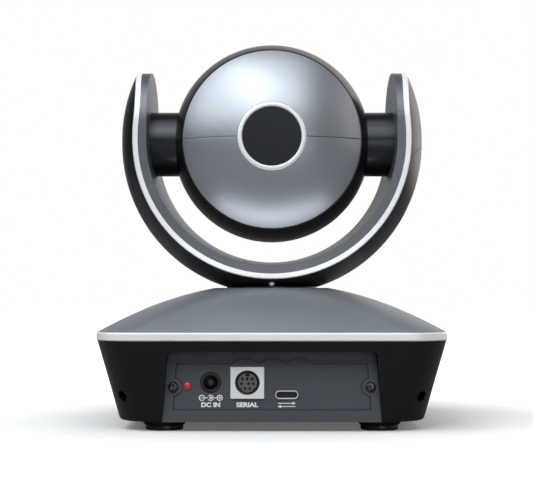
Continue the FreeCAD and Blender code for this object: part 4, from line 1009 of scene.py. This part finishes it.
class PTZ_OT_yoke(PieceOperator):
    """U-shaped yoke: grey frame, black covers, bright edge strips, collars and lock screw"""
    bl_idname = "ptz.yoke"
    bl_label = "Yoke"

    def execute(self, context):
        width = sizes().tip_round
        for node in ("yoke_frame", "yoke_outer_cover", "yoke_cap_left", "yoke_cap_right"):
            rounded_node(node, "yoke", width)
        rounded_node("yoke_trim", "yoke", sizes().fine_round * 1.6)
        rounded_node("trunnion_collars", "yoke", sizes().edge_round * 0.7)
        rounded_node("yoke_screws", "yoke", sizes().fine_round * 0.5)
        lock_screw_dome()
        glide_washer()
        return {"FINISHED"}


class PTZ_OT_head(PieceOperator):
    """Ball head: black halves and silver rear cap halves"""
    bl_idname = "ptz.head"
    bl_label = "Ball head"

    def execute(self, context):
        for node in ("head_shell_upper", "head_shell_lower", "rear_cap_upper", "rear_cap_lower"):
            rounded_node(node, "head", sizes().fine_round)
        return {"FINISHED"}


class PTZ_OT_badge(PieceOperator):
    """Plain charcoal disc and the bright ring round it"""
    bl_idname = "ptz.badge"
    bl_label = "Rear badge"

    def execute(self, context):
        centre = Vector((0, 0, TILT_AXIS.z))
        low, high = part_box("rear_disc_ring")
        outer = (high.x - low.x) / 2
        inner = outer - 1.85 * MM
        ring = turned("badge_ring", rounded_outline([
            (low.y, inner, 0), (low.y, outer, 0), (high.y - 0.6 * MM, outer, 0.1 * MM),
            (high.y, outer - 0.75 * MM, 0.5 * MM), (high.y, inner + 0.35 * MM, 0.3 * MM),
            (high.y - 0.5 * MM, inner, 0.12 * MM)], 6), centre, segments=192)
        finished(ring, "bright_ring", "head", "rear_disc_ring")
        low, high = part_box("rear_disc")
        edge = inner - 0.05 * MM
        disc = turned("badge_disc", rounded_outline([
            (low.y, 0, 0), (low.y, edge, 0), (high.y, edge, 0.15 * MM), (high.y, 0, 0)], 5), centre)
        finished(disc, "disc_charcoal", "head", "rear_disc")
        return {"FINISHED"}


class PTZ_OT_lens(PieceOperator):
    """Front bezel, lens barrel and the ribs round its mouth"""
    bl_idname = "ptz.lens"
    bl_label = "Lens"

    def execute(self, context):
        rounded_node("front_bezel", "head", sizes().edge_round * 0.8)
        rounded_node("lens_barrel", "head", sizes().fine_round * 1.4)
        low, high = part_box("lens_barrel")
        radius = (high.x - low.x) / 2
        ribs = from_tree("barrel_ribs", ribs_tree(), {
            "Count": sizes().barrel_ribs, "Radius": radius - 1.15 * MM,
            "Rib": (0.35 * MM, 0.35 * MM, 0.5 * MM), "Centre": (0, low.y + 0.05 * MM, TILT_AXIS.z),
            "Finish": slot_material("barrel_black")})
        finished(ribs, "barrel_black", "head")
        return {"FINISHED"}


class PTZ_OT_inner_parts(PieceOperator):
    """Finishes of everything that stays as the frame made it"""
    bl_idname = "ptz.inner_parts"
    bl_label = "Inner parts"

    def execute(self, context):
        for node, piece in frame["nodes"].items():
            if piece.hide_render:
                continue
            finish_slot = slot_material(SLOT_OF[node])
            if not piece.data.materials:
                piece.data.materials.append(finish_slot)
            for k in range(len(piece.data.materials)):
                piece.data.materials[k] = finish_slot
        return {"FINISHED"}


# ------------------------------------------------------------------ studio
SOFT_WHITE = (0.95, 0.98, 1.0)
WARM_WHITE = (1.0, 0.94, 0.90)
WHITE = (1.0, 1.0, 1.0)
BASE_MIDDLE = Vector((0, 0, 0.05))
# name, what it is aimed at, place, size, power and colour
LIGHTS = (
    ("key", TILT_AXIS, TILT_AXIS + Vector((0.62, 0.50, 0.74)), (1.35, 1.1), 9.5, SOFT_WHITE),
    ("top", BASE_MIDDLE, (0.05, 0.35, 1.10), (1.1, 0.7), 3.6, SOFT_WHITE),
    ("right_rear", TILT_AXIS, (-0.80, -0.70, 0.10), (0.6, 0.9), 1.8, WARM_WHITE),
    ("fill", BASE_MIDDLE, (-0.10, 1.2, 1.1), (1.4, 0.8), 8.0, SOFT_WHITE),
    ("behind", TILT_AXIS, (-0.35, 1.3, 0.15), (0.7, 0.4), 1.6, WHITE),
    ("low", (0, 0.040, 1.0), (0, 0.038, 0.0585), (0.11, 0.016), 0.009, WHITE),
)
FLOOR_HALF = 4.0
EYE_PLACE = (0, 0.6404, 0.0553)
EYE_TURN = (91.585, 0, 180.206)
EYE_LENS = 101.3
SHEET_WAY = (-0.70, -0.71, 0.10)
SHEET_BRIGHT = 1.0
ROOM_DARK = 0.03


def softbox(name, aim, place, size, power, colour):
    light = bpy.data.lights.new(name, "AREA")
    light.shape = "RECTANGLE"
    light.size, light.size_y = size
    light.energy = power
    light.color = colour
    lamp = bpy.data.objects.new(name, light)
    lamp.location = place
    lamp.rotation_euler = (Vector(aim) - Vector(place)).to_track_quat("-Z", "Y").to_euler()
    lamp.visible_camera = False
    bpy.context.scene.collection.objects.link(lamp)


def paper_material():
    """White sheet that glows to plain white away from the object, so that only its soft shadow shows; the glow
    fades near the object, a painted shade that deepens the shadow round the base.
    """
    paper = bpy.data.materials.new("paper")
    paper.use_nodes = True
    tree = paper.node_tree
    tree.nodes.clear()
    tone = mix_colour(tree, noise(tree, 6.0, 3.0), (0.80, 0.80, 0.80, 1), (0.84, 0.84, 0.84, 1))
    sheet = add(tree, "ShaderNodeBsdfDiffuse", Color=tone).outputs[0]
    place = add(tree, "ShaderNodeTexCoord").outputs["Object"]
    away = add(tree, "ShaderNodeVectorMath", {"operation": "LENGTH"}, i0=place).outputs["Value"]
    # the glow falls from full strength at 0.26 m to 0.12 at 0.06 m: painted shade on the floor round the base
    clear = eased(tree, away, 0.06, 0.26, 0.12, 1.0)
    glow = add(tree, "ShaderNodeEmission", Color=(1, 1, 1, 1), Strength=clear).outputs[0]
    lifted = add(tree, "ShaderNodeAddShader", i0=sheet, i1=glow).outputs[0]
    plain = add(tree, "ShaderNodeBsdfDiffuse", Color=(0.28, 0.28, 0.29, 1)).outputs[0]
    ray = add(tree, "ShaderNodeLightPath").outputs["Is Camera Ray"]
    both = add(tree, "ShaderNodeMixShader", i0=ray, i1=plain, i2=lifted).outputs[0]
    tree.links.new(both, tree.nodes.new("ShaderNodeOutputMaterial").inputs["Surface"])
    return paper


def studio_world():
    """White behind the object; reflections see a dim room with a bright sheet, warm on one side."""
    world = bpy.data.worlds.new("studio")
    world.use_nodes = True
    tree = world.node_tree
    tree.nodes.clear()
    way = add(tree, "ShaderNodeTexCoord").outputs["Generated"]
    ahead = add(tree, "ShaderNodeVectorMath", {"operation": "DOT_PRODUCT"}, i0=way, i1=SHEET_WAY)
    sheet = eased(tree, ahead.outputs["Value"], 0.05, 0.85, ROOM_DARK, SHEET_BRIGHT)
    parts = add(tree, "ShaderNodeSeparateXYZ", Vector=way)
    below = eased(tree, parts.outputs["Z"], 0.45, 0.8, 1.0, 0.25)
    strength = maths(tree, "MULTIPLY", sheet, below)
    warm = add(tree, "ShaderNodeMapRange", Value=parts.outputs["X"], From_Min=0.5, From_Max=-0.5)
    tone = mix_colour(tree, warm.outputs["Result"], (0.92, 0.96, 1.0, 1), (1.0, 0.94, 0.91, 1))
    seen = add(tree, "ShaderNodeBackground", Color=(1, 1, 1, 1), Strength=1.0).outputs[0]
    around = add(tree, "ShaderNodeBackground", Color=tone, Strength=strength).outputs[0]
    ray = add(tree, "ShaderNodeLightPath").outputs["Is Camera Ray"]
    both = add(tree, "ShaderNodeMixShader", i0=ray, i1=around, i2=seen).outputs[0]
    tree.links.new(both, tree.nodes.new("ShaderNodeOutputWorld").inputs["Surface"])
    return world


class PTZ_OT_stage(PieceOperator):
    """White floor, soft studio light and the camera"""
    bl_idname = "ptz.stage"
    bl_label = "Stage"

    def execute(self, context):
        scene = context.scene
        mesh = bpy.data.meshes.new("floor")
        corners = [(-1, -1), (1, -1), (1, 1), (-1, 1)]
        mesh.from_pydata([(FLOOR_HALF * a, FLOOR_HALF * b, 0) for a, b in corners], [], [(0, 1, 2, 3)])
        mesh.materials.append(paper_material())
        linked("floor", mesh)
        scene.world = studio_world()
        scene.view_settings.view_transform = "Standard"
        for light in LIGHTS:
            softbox(*light)
        lens = bpy.data.cameras.new("camera")
        lens.lens = EYE_LENS
        lens.sensor_width = 36.0
        lens.clip_start = 0.01
        eye = bpy.data.objects.new("camera", lens)
        eye.location = EYE_PLACE
        eye.rotation_euler = [math.radians(turn) for turn in EYE_TURN]
        scene.collection.objects.link(eye)
        scene.camera = eye
        return {"FINISHED"}


class PTZ_PT_panel(bpy.types.Panel):
    """Lists the pieces and what can be changed"""
    bl_idname = "PTZ_PT_panel"
    bl_label = "Pan-tilt-zoom camera"
    bl_space_type = "VIEW_3D"
    bl_region_type = "UI"
    bl_category = "Camera"

    def draw(self, context):
        for settings in (context.scene.ptz_sizes, context.scene.ptz_finish):
            column = self.layout.column()
            for key in settings.__annotations__:
                column.prop(settings, key)
        column = self.layout.column()
        for maker in MAKERS:
            column.operator(maker.bl_idname)


MAKERS = (PTZ_OT_stage, PTZ_OT_base_housing, PTZ_OT_top_cover, PTZ_OT_rear_panel, PTZ_OT_panel_screws,
          PTZ_OT_power_inlet, PTZ_OT_serial_port, PTZ_OT_data_port, PTZ_OT_status_lamp, PTZ_OT_signs,
          PTZ_OT_feet, PTZ_OT_tripod_insert, PTZ_OT_yoke, PTZ_OT_head, PTZ_OT_badge, PTZ_OT_lens,
          PTZ_OT_inner_parts)
CLASSES = (PTZ_PG_sizes, PTZ_PG_finish, *MAKERS, PTZ_PT_panel)


def register():
    for made in CLASSES:
        bpy.utils.register_class(made)
    bpy.types.Scene.ptz_sizes = PointerProperty(type=PTZ_PG_sizes)
    bpy.types.Scene.ptz_finish = PointerProperty(type=PTZ_PG_finish)


def unregister():
    del bpy.types.Scene.ptz_finish
    del bpy.types.Scene.ptz_sizes
    for made in reversed(CLASSES):
        bpy.utils.unregister_class(made)


def main():
    register()
    for maker in MAKERS:
        group_name, call = maker.bl_idname.split(".")
        getattr(getattr(bpy.ops, group_name), call)()


if __name__ == "__main__":
    main()
